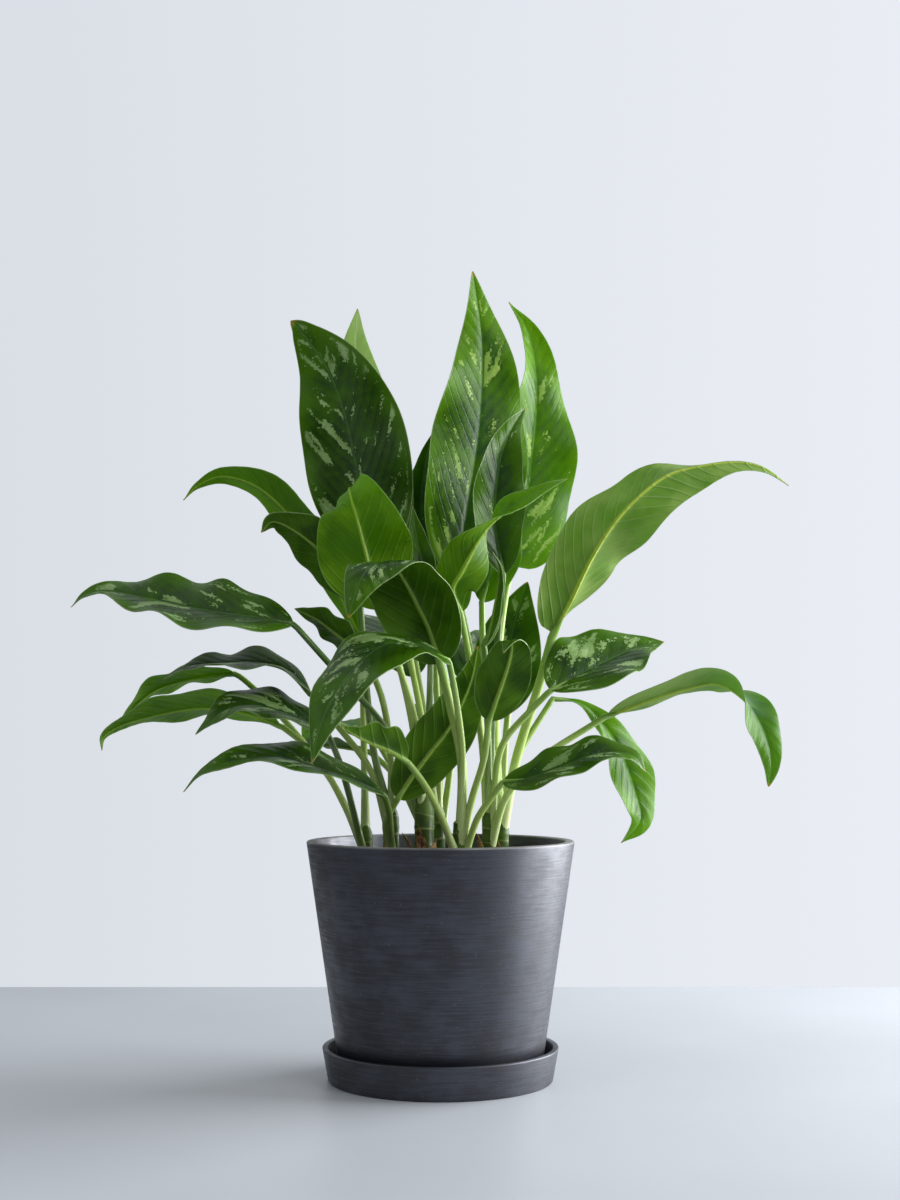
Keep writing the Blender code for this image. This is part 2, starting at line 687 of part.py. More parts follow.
def main():
    """Build the plant in its pot."""
    for old in list(bpy.data.objects):
        bpy.data.objects.remove(old)
    scene_collection = bpy.context.scene.collection
    plant = bpy.data.collections.new("potted_chinese_evergreen")
    cutters = bpy.data.collections.new("cutters")
    scene_collection.children.link(plant)
    scene_collection.children.link(cutters)
    build_saucer(plant)
    build_pot(plant)
    build_soil(plant, cutters)
    green = material("shoot_green", "stalk", ROUGHNESS["stalk"])
    for shoot in SHOOTS:
        build_shoot(shoot, plant, green)
    for leaf in LEAVES:
        build_blade(leaf, plant)


main()
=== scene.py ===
"""The looks of a potted chinese evergreen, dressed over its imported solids.

Metres, +Z up, the front along -Y. The stems, leaf blades, pot, saucer and soil each replace their
plain solid with a finer piece of the same form.
"""

import logging
import random
from dataclasses import dataclass, field
from enum import Enum
from functools import partial
from math import cos, exp, log, pi, radians, sin, tan
from typing import Callable

import bpy
import numpy as np
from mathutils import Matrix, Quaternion, Vector, noise


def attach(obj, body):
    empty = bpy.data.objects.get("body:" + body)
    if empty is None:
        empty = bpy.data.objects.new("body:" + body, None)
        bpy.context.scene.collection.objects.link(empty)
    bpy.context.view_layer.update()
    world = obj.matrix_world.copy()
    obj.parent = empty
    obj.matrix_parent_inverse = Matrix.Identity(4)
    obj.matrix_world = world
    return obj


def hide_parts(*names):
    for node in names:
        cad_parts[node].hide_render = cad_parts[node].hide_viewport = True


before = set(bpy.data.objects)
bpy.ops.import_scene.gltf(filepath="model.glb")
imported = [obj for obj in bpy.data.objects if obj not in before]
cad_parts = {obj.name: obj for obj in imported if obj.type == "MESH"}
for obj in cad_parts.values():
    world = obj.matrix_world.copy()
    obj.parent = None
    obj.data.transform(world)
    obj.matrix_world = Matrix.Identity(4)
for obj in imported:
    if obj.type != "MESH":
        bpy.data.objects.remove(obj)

LOG = logging.getLogger("evergreen")

MM = 0.001
MERGE = 0.00001
BODY = "root"

# The eye from whose place across and up are read, in millimetres
EYE_DISTANCE = 1240.0
EYE_HEIGHT = 249.0

# A stalk's route is rounded by taking the mean over neighbouring steps
ROUTE_STEPS = 120
ROUTE_REACH = 12
ROUTE_PASSES = 2

# The maps that the finishes read, in millimetres but for the growth's shares
UV_BLADE = "blade_mm"
UV_VEIN = "vein_mm"
UV_GROWTH = "growth"
UV_STALK = "stalk_mm"

# The second number of the growth map on a shoot: on stalks their painted shade, up to the first; on canes
# the other
DEEPEST_STALK_SHADE = 0.5
CANE_KIND = 1.0

# Side veins on a blade and ring scars on a cane, for relief and colour alike, in millimetres
VEIN_SPACING = 13.0
RING_SPACING = 13.0

# Blades lie this far apart on the maps, so that no two have the same markings
MAP_STEP = 400.0


class Side(Enum):
    """The two faces of a leaf blade, by material slot."""

    TOP = 0
    UNDER = 1


class Kind(Enum):
    """Kinds of shader node that the finishes use."""

    MATH = "ShaderNodeMath"
    SHIFT = "ShaderNodeVectorMath"
    RANGE = "ShaderNodeMapRange"
    MIX = "ShaderNodeMix"
    NOISE = "ShaderNodeTexNoise"
    CELLS = "ShaderNodeTexVoronoi"
    MAP = "ShaderNodeUVMap"
    PLACE = "ShaderNodeTexCoord"
    STRETCH = "ShaderNodeMapping"
    SPLIT = "ShaderNodeSeparateXYZ"
    JOIN = "ShaderNodeCombineXYZ"
    BUMP = "ShaderNodeBump"
    GLOW = "ShaderNodeBsdfTranslucent"
    BLEND = "ShaderNodeMixShader"
    RAY = "ShaderNodeLightPath"
    BACKDROP = "ShaderNodeBackground"


# Settings that many nodes share
SOFT = {"interpolation_type": "SMOOTHSTEP"}
TIMES = {"operation": "MULTIPLY"}
PLUS = {"operation": "ADD"}
TIMES_PLUS = {"operation": "MULTIPLY_ADD"}
TO_AND_FRO = {"operation": "PINGPONG"}
COLOURS = {"data_type": "RGBA", "out": 2}

# Inputs of a node that mixes colours
SHARE, FIRST, SECOND = 0, 6, 7


@dataclass(frozen=True)
class Shoot:
    """A cane that stands in the soil, with the stalks of its leaves, in millimetres."""

    name: str
    across: float
    back: float
    radius: float
    top: float


@dataclass(frozen=True)
class Leaf:
    """A blade and its stalk. Points are (across, up, back) as the eye reads them.

    The roll turns the blade about its midrib, in degrees, at even steps from base to tip. The lean
    makes one half of the blade wider and the other narrower by that share.
    """

    name: str
    shoot: str
    spine: tuple
    half_width: float
    face: tuple
    stalk: tuple
    root: float
    tone: str = "dark"
    fold: float = 14.0
    arch: float = 0.12
    roll: tuple = (0.0, 0.0)
    lean: float = 0.0
    ripple: float = 2.2
    waves: float = 3.0
    sheath: float = 4.2
    stout: float = 2.2
    widest: float = 0.41
    fullness: float = 0.7
    drawn: float = 0.55


SHOOTS = (
    Shoot("shoot_left", -56, 6, 5.5, 190),
    Shoot("shoot_middle_left", -36, -8, 5.5, 205),
    Shoot("shoot_centre", -12, -18, 7.5, 216),
    Shoot("shoot_back", -2, 38, 6.0, 205),
    Shoot("shoot_cut", 14, -38, 5.0, 194),
    Shoot("shoot_right_centre", 36, -8, 5.5, 206),
    Shoot("shoot_right", 46, 18, 6.0, 200),
)

LEAVES = (
    # Tall leaves at the top
    Leaf(
        "leaf_back_left_tall", "shoot_centre",
        ((-47, 380, 10), (-58, 432, 18), (-70, 490, 24), (-84, 529, 28), (-103, 557, 30), (-112, 566, 26)),
        43, (-0.2, -1.0, 0.2), ((-29, 301, 6), (-21, 269, -4)), 196,
        widest=0.44, fullness=0.64, drawn=0.35, lean=0.07, ripple=3.0,
    ),
    Leaf(
        "leaf_back_left_pale", "shoot_back",
        ((-36, 380, 46), (-50, 440, 56), (-60, 495, 64), (-64, 545, 70), (-62, 575, 76)),
        33, (0.1, 1.0, 0.2), ((-26, 330, 44), (-12, 260, 40)), 185, tone="pale",
    ),
    Leaf(
        "leaf_centre_tall", "shoot_right_centre",
        ((12, 372, 18), (21, 432, 24), (29, 488, 30), (31, 548, 34), (24, 603, 30)),
        43, (0.45, -0.9, 0.15), ((16, 348, 16), (25, 310, 12), (31, 255, 4)), 192, tone="bright",
        ripple=3.6, widest=0.37,
    ),
    Leaf(
        "leaf_centre_right_dark", "shoot_right_centre",
        ((47, 377, -2), (41, 417, -6), (44, 458, -8), (52, 483, -6), (63, 501, 0)),
        23, (0.35, -0.9, 0.15), ((44, 345, 0), (39, 285, 2)), 186, fold=24,
    ),
    Leaf(
        "leaf_centre_hidden", "shoot_back",
        ((-6, 357, 54), (-12, 387, 60), (-15, 425, 62), (-12, 458, 62), (-6, 482, 60)),
        20, (-0.5, -0.8, 0.2), ((-4, 310, 50), (-1, 250, 42)), 175,
    ),
    Leaf(
        "leaf_centre_small", "shoot_centre",
        ((-9, 357, 0), (-13, 383, 2), (-18, 406, 4), (-21, 428, 6)),
        10, (0.1, -1.0, 0.2), ((-7, 315, 0), (-9, 255, -10)), 188, fold=20, ripple=1.0,
    ),
    Leaf(
        "leaf_right_tall", "shoot_right",
        ((53, 383, 60), (64, 430, 70), (69, 470, 76), (72, 515, 78), (66, 556, 78), (51, 580, 72)),
        40, (0.62, -0.78, 0.1), ((45, 340, 40), (41, 270, 26)), 180, tone="bright", fold=22,
        widest=0.3, fullness=0.62, drawn=0.8, ripple=5.0, waves=2.6,
    ),
    Leaf(
        "leaf_right_inner", "shoot_right",
        ((31, 356, 15), (41, 387, 16), (48, 417, 17), (52, 447, 18)),
        19, (0.3, -0.9, 0.2), ((31, 325, 14), (36, 265, 16)), 176, tone="bright",
    ),
    # Leaves in front of the middle
    Leaf(
        "leaf_front_left_bright", "shoot_centre",
        ((-45, 350, -40), (-54, 385, -56), (-61, 413, -67), (-66, 431, -71), (-68, 440, -62),
         (-67, 440, -46), (-65, 433, -34)),
        35, (-0.1, 1.0, 0.2), ((-30, 304, -34), (-18, 270, -28)), 180, tone="bright", fold=10,
        widest=0.36, fullness=1.05, drawn=0.2, ripple=3.4, roll=(0, 0, -8, -32, -36),
    ),
    Leaf(
        "leaf_centre_folded", "shoot_right_centre",
        ((15, 348, -36), (9, 365, -42), (16, 379, -47), (28, 402, -52), (37, 414, -53), (49, 424, -52),
         (61, 432, -49), (77, 441, -44), (95, 448, -38)),
        19, (-0.2, 1.0, 0.1), ((19, 328, -28), (24, 300, -14), (31, 255, -8)), 178, tone="bright",
        roll=(0, 0, 75, 135, 140), widest=0.3, fullness=0.8,
    ),
    Leaf(
        "leaf_front_centre_big", "shoot_cut",
        ((0, 310, -46), (-9, 336, -56), (-17, 353, -64), (-24, 367, -72), (-33, 381, -84),
         (-43, 386, -98), (-54, 381, -111), (-62, 367, -120), (-69, 344, -124)),
        29, (0.1, 0.9, 0.4), ((6, 284, -46), (17, 238, -42)), 170, fold=3, arch=0.28, stout=3.2, sheath=4.6,
        widest=0.36, roll=(0, 0, -8, -45, -60), drawn=0.3,
    ),
    Leaf(
        "leaf_young_furled", "shoot_right_centre",
        ((33, 323, -22), (38, 338, -22), (42, 360, -22), (44, 380, -22), (39, 393, -24)),
        6.5, (1.0, -0.2, 0.0), ((34, 290, -20), (36, 250, -14)), 194, fold=44, ripple=0.3,
    ),
    Leaf(
        "leaf_front_left", "shoot_cut",
        ((6, 313, -62), (-16, 323, -80), (-39, 325, -100), (-59, 312, -121), (-76, 292, -138),
         (-88, 268, -149), (-96, 236, -155)),
        33, (-0.3, -0.5, 0.8), ((11, 290, -54), (17, 245, -46)), 180, fold=8, lean=-0.12, drawn=0.5,
        roll=(-26, -14, 0, 0, 0),
    ),
    # Leaves to the left
    Leaf(
        "leaf_left_mid", "shoot_middle_left",
        ((-60, 357, -10), (-82, 386, -18), (-104, 406, -22), (-124, 416, -22), (-134, 408, -20)),
        24, (-0.1, 0.6, 0.75), ((-56, 300, -6), (-51, 245, -4)), 190,
    ),
    Leaf(
        "leaf_far_left_upper", "shoot_left",
        ((-58, 326, 18), (-70, 352, 20), (-84, 380, 22), (-104, 411, 28), (-133, 440, 36), (-161, 450, 42),
         (-181, 443, 45), (-192, 432, 46)),
        23, (-0.3, 0.4, 0.85), ((-58, 290, 22), (-57, 240, 14)), 176, tone="bright", drawn=0.85,
        widest=0.46,
    ),
    Leaf(
        "leaf_left_inner", "shoot_middle_left",
        ((-59, 318, 2), (-75, 330, 6), (-92, 343, 12), (-109, 351, 18)),
        16, (0.2, 0.7, 0.7), ((-44, 290, 0), (-37, 250, -4)), 184,
    ),
    Leaf(
        "leaf_left_big", "shoot_centre",
        ((-110, 340, -22), (-139, 345, -28), (-176, 350, -30), (-220, 359, -26), (-248, 364, -22),
         (-266, 361, -20), (-276, 352, -20)),
        37, (0.0, -0.53, 0.85), ((-77, 303, -16), (-34, 256, -16)), 186, fold=16, ripple=4.0, waves=3.6,
        drawn=0.85,
    ),
    Leaf(
        "leaf_left_arching", "shoot_middle_left",
        ((-97, 288, -10), (-116, 306, -18), (-139, 311, -22), (-161, 310, -24), (-187, 308, -24),
         (-207, 298, -22)),
        29, (0.0, -0.28, 0.96), ((-74, 260, -8), (-51, 232, -8)), 178, ripple=2.8,
    ),
    Leaf(
        "leaf_left_back", "shoot_left",
        ((-154, 303, 36), (-171, 301, 38), (-194, 297, 40), (-217, 288, 40), (-239, 267, 40)),
        21, (-0.2, 0.3, 0.9), ((-139, 293, 34), (-105, 255, 26), (-75, 215, 14)), 168, tone="bright",
    ),
    Leaf(
        "leaf_left_low", "shoot_left",
        ((-120, 264, 8), (-146, 273, 10), (-177, 277, 12), (-206, 273, 14), (-236, 265, 14),
         (-251, 256, 13), (-253, 245, 12)),
        28, (0.0, 0.36, 0.93), ((-98, 248, 8), (-81, 223, 8)), 172, tone="bright", drawn=0.7,
    ),
    Leaf(
        "leaf_left_glossy", "shoot_left",
        ((-86, 261, -30), (-112, 272, -38), (-139, 279, -44), (-161, 275, -48), (-183, 257, -50)),
        31, (0.0, -0.38, 0.93), ((-76, 240, -22), (-68, 212, -10)), 164,
    ),
    Leaf(
        "leaf_left_lowest", "shoot_middle_left",
        ((-42, 212, -45), (-63, 223, -56), (-90, 232, -66), (-121, 240, -72), (-150, 238, -76),
         (-176, 230, -78), (-192, 214, -78)),
        31, (0.0, -0.3, 0.95), ((-38, 200, -34),), 166, drawn=0.7,
    ),
    Leaf(
        "leaf_left_behind", "shoot_back",
        ((-54, 245, 52), (-75, 248, 60), (-97, 250, 66), (-115, 251, 70)),
        18, (0.0, 0.2, 1.0), ((-36, 230, 46),), 172,
    ),
    # Leaves low in the middle
    Leaf(
        "leaf_front_low_folded", "shoot_cut",
        ((-26, 238, -62), (-39, 245, -72), (-53, 251, -82), (-65, 257, -91), (-74, 263, -98)),
        15, (0.0, 0.25, 1.0), ((-13, 222, -56), (-1, 200, -50)), 162, fold=46,
    ),
    Leaf(
        "leaf_centre_low", "shoot_middle_left",
        ((-32, 209, -30), (-23, 223, -31), (-9, 242, -31), (5, 260, -31), (15, 278, -32), (23, 298, -33),
         (28, 323, -34)),
        22, (-0.1, 1.0, 0.15), ((-42, 192, -22),), 160, fullness=0.6, fold=8, ripple=1.6,
    ),
    Leaf(
        "leaf_front_right_upright", "shoot_cut",
        ((36, 267, -56), (42, 284, -62), (49, 304, -68), (53, 320, -75), (52, 327, -84), (47, 318, -92)),
        20, (0.0, 1.0, 0.3), ((33, 238, -50), (24, 212, -42)), 172, drawn=0.6,
    ),
    Leaf(
        "leaf_right_centre_behind", "shoot_right",
        ((41, 271, 52), (48, 305, 60), (54, 335, 64), (60, 356, 66), (65, 371, 66)),
        28, (0.0, -1.0, 0.3), ((42, 240, 34),), 176, fullness=0.6,
    ),
    # Leaves to the right
    Leaf(
        "leaf_right_big", "shoot_right",
        ((84, 333, 0), (97, 357, -10), (113, 389, -20), (130, 415, -24), (150, 436, -24),
         (169, 450, -20), (189, 456, -14), (219, 460, -6), (242, 456, -2), (260, 443, 2)),
        31, (-0.3, 0.9, 0.3), ((73, 291, 8), (57, 243, 12)), 184, tone="pale", fold=28,
        roll=(35, 0, -46, -64, -72), sheath=5.4, stout=3.2, widest=0.3, fullness=0.6, drawn=0.92, ripple=3.0,
    ),
    Leaf(
        "leaf_right_glossy", "shoot_right_centre",
        ((82, 290, -28), (105, 303, -16), (124, 312, 0), (144, 321, 16), (167, 326, 28)),
        36, (-0.2, -0.75, 0.65), ((44, 251, -18),), 180, fold=20,
    ),
    Leaf(
        "leaf_right_drooping", "shoot_right",
        ((84, 284, 44), (104, 281, 48), (119, 268, 52), (134, 246, 56), (146, 212, 60), (149, 192, 60),
         (135, 176, 58)),
        25, (0.6, -0.75, 0.2), ((56, 240, 28),), 170, tone="bright", widest=0.66, fullness=1.0,
    ),
    Leaf(
        "leaf_far_right", "shoot_right_centre",
        ((126, 272, -10), (143, 278, -14), (165, 286, -16), (186, 292, -16), (207, 295, -16),
         (226, 284, -16), (238, 267, -16), (245, 249, -16), (247, 233, -16), (245, 218, -16)),
        24, (0.0, 0.35, 0.93), ((74, 240, -18), (47, 212, -16)), 170, roll=(0, 0, 8, 85, 100),
        widest=0.46, fullness=0.6, drawn=0.5,
    ),
    Leaf(
        "leaf_right_lowest", "shoot_cut",
        ((47, 222, -52), (66, 225, -60), (92, 234, -68), (118, 243, -74), (142, 242, -76),
         (153, 229, -78)),
        25, (0.0, -0.48, 0.86), ((27, 195, -46),), 158,
    ),
    # Leaves at the back, where the front ones hide them
    Leaf(
        "leaf_rear_left", "shoot_back",
        ((-20, 300, 70), (-33, 328, 95), (-44, 344, 130), (-50, 340, 165), (-54, 322, 190)),
        30, (-0.2, 0.3, 0.9), ((-8, 255, 50),), 166,
    ),
    Leaf(
        "leaf_rear_right", "shoot_back",
        ((20, 296, 78), (30, 318, 106), (42, 329, 138), (52, 327, 170), (58, 314, 194)),
        28, (0.2, 0.3, 0.9), ((10, 250, 50),), 160,
    ),
    Leaf(
        "leaf_rear_low", "shoot_back",
        ((2, 252, 66), (4, 272, 95), (6, 278, 130), (8, 270, 165), (8, 252, 190)),
        28, (0.0, 0.2, 1.0), ((0, 225, 54),), 156,
    ),
    Leaf(
        "leaf_rear_upright", "shoot_back",
        ((2, 340, 76), (4, 378, 96), (6, 415, 108), (8, 452, 112), (8, 480, 108)),
        25, (0.1, -1.0, 0.3), ((0, 270, 56),), 190,
    ),
    Leaf(
        "leaf_rear_left_low", "shoot_back",
        ((-46, 250, 66), (-62, 262, 92), (-78, 266, 122), (-92, 258, 152), (-98, 240, 176)),
        27, (-0.2, 0.3, 0.9), ((-30, 222, 50),), 158, tone="bright",
    ),
    Leaf(
        "leaf_rear_left_high", "shoot_back",
        ((-36, 385, 86), (-45, 418, 108), (-52, 436, 138), (-58, 436, 168), (-62, 418, 192)),
        30, (-0.2, 0.4, 0.9), ((-22, 330, 74), (-10, 262, 54)), 182,
    ),
    Leaf(
        "leaf_rear_right_high", "shoot_right",
        ((42, 395, 92), (50, 428, 112), (56, 446, 142), (60, 444, 172), (64, 426, 196)),
        28, (0.2, 0.4, 0.9), ((45, 340, 84), (54, 300, 76), (48, 255, 62)), 172, tone="bright",
    ),
)

# How much of each blade's top the pale markings cover, where it isn't the usual share
MARKINGS_USUAL = 0.7
MARKINGS = {
    "leaf_back_left_tall": 1.0,
    "leaf_centre_tall": 0.75,
    "leaf_centre_right_dark": 0.3,
    "leaf_centre_hidden": 0.3,
    "leaf_centre_small": 0.1,
    "leaf_right_tall": 0.6,
    "leaf_right_inner": 0.3,
    "leaf_young_furled": 0.0,
    "leaf_right_drooping": 0.0,
    "leaf_front_centre_big": 1.0,
    "leaf_front_left": 0.95,
    "leaf_left_big": 1.0,
    "leaf_left_glossy": 0.9,
    "leaf_right_glossy": 1.0,
    "leaf_right_lowest": 1.0,
    "leaf_right_centre_behind": 0.9,
    "leaf_far_right": 0.3,
    "leaf_centre_folded": 0.1,
}

# How deep the painted shade on each leaf's stalk is, where it isn't the usual share: stalks out of the light
# are drawn darker
STALK_PAINTED_SHADE_USUAL = 0.3
STALK_PAINTED_SHADE = {
    "leaf_left_big": 0.9,
    "leaf_left_mid": 0.8,
    "leaf_left_glossy": 0.9,
    "leaf_left_lowest": 0.7,
    "leaf_centre_small": 0.8,
    "leaf_centre_right_dark": 0.9,
    "leaf_young_furled": 0.7,
    "leaf_right_big": 0.05,
    "leaf_front_centre_big": 0.2,
    "leaf_right_tall": 0.0,
    "leaf_right_inner": 0.0,
    "leaf_centre_folded": 0.0,
    "leaf_far_right": 0.25,
    "leaf_left_low": 0.0,
    "leaf_back_left_pale": 0.0,
    "leaf_front_left_bright": 0.1,
}


def srgb(code: str) -> tuple[float, float, float, float]:
    """Turn a colour code into linear light.

    Args:
        code: Six hex digits after a hash sign, as seen on a screen.

    Returns:
        Red, green, blue and an alpha of one.
    """
    shares = [int(code[place:place + 2], 16) / 255 for place in (1, 3, 5)]
    linear = [v / 12.92 if v <= 0.04045 else ((v + 0.055) / 1.055) ** 2.4 for v in shares]
    return (*linear, 1.0)


def add_node(tree: bpy.types.NodeTree, kind: Kind, *values: object, out: int | str = 0,
             **settings: object) -> bpy.types.NodeSocket:
    """Add a node with its settings and links.

    Args:
        tree: The node tree of a material or of the world.
        kind: The node's type.
        values: A value, or an output socket to link, for each input in turn, with None for one that
            keeps its own; or one dict from the inputs' names or numbers to such values.
        out: Which output is wanted.
        settings: The node's own properties.

    Returns:
        The wanted output. The node's other outputs are reached through its node.
    """
    node = tree.nodes.new(kind.value)
    for key, value in settings.items():
        setattr(node, key, value)
    given = values[0] if values and isinstance(values[0], dict) else dict(enumerate(values))
    for key, value in given.items():
        if isinstance(value, bpy.types.NodeSocket):
            tree.links.new(value, node.inputs[key])
        elif value is not None:
            node.inputs[key].default_value = value
    return node.outputs[out]


@dataclass(frozen=True)
class Coat:
    """A new material that a finish fills in."""

    material: bpy.types.Material
    tree: bpy.types.NodeTree
    shader: bpy.types.Node
    output: bpy.types.Node

    @classmethod
    def started(cls, name: str) -> "Coat":
        """Start a material.

        Args:
            name: What the finish is.

        Returns:
            The coat with its main shader in place.
        """
        material = bpy.data.materials.new(name)
        material.use_nodes = True
        nodes = material.node_tree.nodes
        return cls(material, material.node_tree, nodes["Principled BSDF"], nodes["Material Output"])

    def finished(self, links: dict, **constants: object) -> bpy.types.Material:
        """Link and set the main shader's inputs.

        Args:
            links: The output socket for each input's name.
            constants: A value for each input, by its name with _ for a space.

        Returns:
            The material.
        """
        for key, socket in links.items():
            self.tree.links.new(socket, self.shader.inputs[key])
        for key, value in constants.items():
            self.shader.inputs[key.replace("_", " ")].default_value = value
        return self.material

    def let_through(self, lit: bpy.types.NodeSocket, share: float) -> None:
        """Blend in the light that comes through a thin sheet.

        Args:
            lit: Its colour.
            share: Its share of the whole look.
        """
        glow = add_node(self.tree, Kind.GLOW, lit)
        both = add_node(self.tree, Kind.BLEND, share, self.shader.outputs[0], glow)
        self.tree.links.new(both, self.output.inputs["Surface"])


@dataclass(frozen=True)
class BladeSockets:
    """What a leaf finish reads of the place on the blade, in millimetres but for the shares."""

    flat: bpy.types.NodeSocket
    across: bpy.types.NodeSocket
    distance: bpy.types.NodeSocket
    edge: bpy.types.NodeSocket
    vein: bpy.types.NodeSocket
    share: bpy.types.NodeSocket
    habit: bpy.types.NodeSocket

    @classmethod
    def read(cls, tree: bpy.types.NodeTree) -> "BladeSockets":
        """Read the blade's own maps.

        Args:
            tree: The material's node tree.

        Returns:
            The sockets.
        """
        flat = add_node(tree, Kind.MAP, uv_map=UV_BLADE)
        across = add_node(tree, Kind.SPLIT, flat)
        edge = add_node(tree, Kind.SPLIT, add_node(tree, Kind.MAP, uv_map=UV_VEIN))
        share = add_node(tree, Kind.SPLIT, add_node(tree, Kind.MAP, uv_map=UV_GROWTH))
        distance = add_node(tree, Kind.MATH, across, operation="ABSOLUTE")
        return cls(flat, across, distance, edge, edge.node.outputs[1], share, share.node.outputs[1])


@dataclass(frozen=True)
class LeafTop:
    """Waxed upper face of a leaf, dark, with pale jagged markings in groups along the side veins.

    Sizes and spacings are in millimetres, strengths are shares.
    """

    name: str
    deep: str
    green: str
    cool: str
    mark: str
    mark_light: str
    through: str
    through_mark: str
    glow: float
    shine: float = 0.30
    roughness: float = 0.29
    refraction: float = 1.4
    rib: str = "#5d8a48"
    margin: str = "#a9c286"
    tip: str = "#b08a2a"
    cloud: float = 36.0
    mottle: float = 7.0
    quilt: float = 2.4
    vein_spacing: float = VEIN_SPACING
    blotch_length: float = 8.4
    blotch_width: float = 10.0
    group_length: float = 32.0
    group_width: float = 25.0
    notch: float = 1.9
    tear: tuple = (0.42, 0.50, 0.0)
    dot: float = 2.6
    # The strength from which a leaf is marked: for one with few markings, and how habit lowers it
    sparse_level: float = 0.88
    habit_lowers: float = 0.26

    def markings(self, add: partial, at: BladeSockets) -> tuple[bpy.types.NodeSocket, bpy.types.NodeSocket]:
        """Lay out blotches: long cells along the veins, with steps like torn paper at their borders.

        Args:
            add: Adds a node to the material.
            at: The place on the blade.

        Returns:
            The share of marking, and the blotches that its two tints follow.
        """
        streak = add(
            Kind.JOIN, add(Kind.MATH, at.across, self.blotch_length, operation="DIVIDE"),
            add(Kind.MATH, at.vein, self.blotch_width, operation="DIVIDE"))
        steps = add(
            Kind.CELLS, {"Vector": at.flat, "Scale": 1 / self.notch}, out="Color", distance="CHEBYCHEV")
        torn = add(Kind.SHIFT, steps, self.tear, streak, **TIMES_PLUS)
        blotch = add(Kind.NOISE, {"Vector": torn, "Scale": 1.0, "Detail": 1.0, "Roughness": 0.4})
        spread = add(
            Kind.JOIN, add(Kind.MATH, at.across, self.group_length, operation="DIVIDE"),
            add(Kind.MATH, at.vein, self.group_width, operation="DIVIDE"))
        group = add(Kind.NOISE, {"Vector": spread, "Scale": 1.0, "Detail": 0.0})
        strength = add(Kind.MATH, group, 0.9, add(Kind.MATH, blotch, -0.45, **PLUS), **TIMES_PLUS)
        level = add(Kind.MATH, at.habit, -self.habit_lowers, self.sparse_level, **TIMES_PLUS)
        over = add(Kind.MATH, strength, level, operation="SUBTRACT")
        marked = add(Kind.RANGE, over, -0.006, 0.010, **SOFT)
        grains = add(Kind.NOISE, {"Vector": at.flat, "Scale": 1 / self.dot, "Detail": 0.0})
        near = add(Kind.RANGE, over, -0.13, -0.10, **SOFT)
        dots = add(Kind.MATH, add(Kind.RANGE, grains, 0.74, 0.76, **SOFT), near, **TIMES)
        marked = add(Kind.MATH, marked, dots, operation="MAXIMUM")

        # None lie on the margin or the midrib
        off_margin = add(Kind.RANGE, at.edge, 2.5, 5.5, **SOFT)
        off_midrib = add(Kind.RANGE, at.distance, 0.9, 2.2, **SOFT)
        inside = add(Kind.MATH, off_margin, off_midrib, **TIMES)
        return add(Kind.MATH, marked, inside, **TIMES), blotch

    def ground(self, add: partial, at: BladeSockets, clouds: bpy.types.NodeSocket,
               cycle: bpy.types.NodeSocket) -> bpy.types.NodeSocket:
        """Tint the ground: bright towards margin and tip, with a blue-grey bloom beside the midrib.

        Args:
            add: Adds a node to the material.
            at: The place on the blade.
            clouds: Large soft patches.
            cycle: How far the nearest side vein is.

        Returns:
            The colour.
        """
        rim = add(Kind.RANGE, at.edge, 16.0, 0.0, **SOFT)
        young = add(Kind.RANGE, at.share, 0.45, 1.0, **SOFT)
        lively = add(Kind.MATH, young, 0.22, clouds, **TIMES_PLUS)
        lively = add(Kind.MATH, rim, 0.22, lively, **TIMES_PLUS)
        inner = add(Kind.RANGE, at.distance, 20.0, 2.0, 0.0, 0.8, **SOFT)
        dull = add(Kind.RANGE, lively, 0.70, 0.42, **SOFT)
        mottle = add(
            Kind.NOISE, {"Vector": at.flat, "Scale": 1 / self.mottle, "Detail": 3.0, "Roughness": 0.6})
        colour = srgb(self.deep)
        for share, tint in (
                (add(Kind.RANGE, lively, 0.40, 0.86, **SOFT), self.green),
                (add(Kind.MATH, inner, dull, **TIMES), self.cool),
                (add(Kind.RANGE, cycle, 0.0, self.vein_spacing / 2, 0.0, 0.26, **SOFT), self.green),
                (add(Kind.RANGE, mottle, 0.42, 0.72, 0.0, 0.30, **SOFT), self.green)):
            colour = add(Kind.MIX, {SHARE: share, FIRST: colour, SECOND: srgb(tint)}, **COLOURS)
        return colour

    def make(self) -> bpy.types.Material:
        """Build the material, which gives dark satin leaves whose blotches catch the light.

        Returns:
            The material.
        """
        coat = Coat.started(self.name)
        add = partial(add_node, coat.tree)
        at = BladeSockets.read(coat.tree)
        clouds = add(Kind.NOISE, {"Vector": at.flat, "Scale": 1 / self.cloud, "Detail": 2.0})
        cycle = add(Kind.MATH, at.vein, self.vein_spacing / 2, **TO_AND_FRO)
        marked, blotch = self.markings(add, at)
        pale = add(Kind.MIX, {
            SHARE: add(Kind.RANGE, blotch, 0.5, 0.72, **SOFT), FIRST: srgb(self.mark),
            SECOND: srgb(self.mark_light)}, **COLOURS)
        colour = add(Kind.MIX, {
            SHARE: marked, FIRST: self.ground(add, at, clouds, cycle), SECOND: pale}, **COLOURS)
        for share, tint in (
                (add(Kind.RANGE, at.distance, 0.8, 0.3, 0.0, 0.45, **SOFT), self.rib),
                (add(Kind.RANGE, at.edge, 0.8, 0.32, 0.0, 0.55, **SOFT), self.margin),
                (add(Kind.RANGE, at.share, 0.975, 0.995, 0.0, 0.7, **SOFT), self.tip)):
            colour = add(Kind.MIX, {SHARE: share, FIRST: colour, SECOND: srgb(tint)}, **COLOURS)

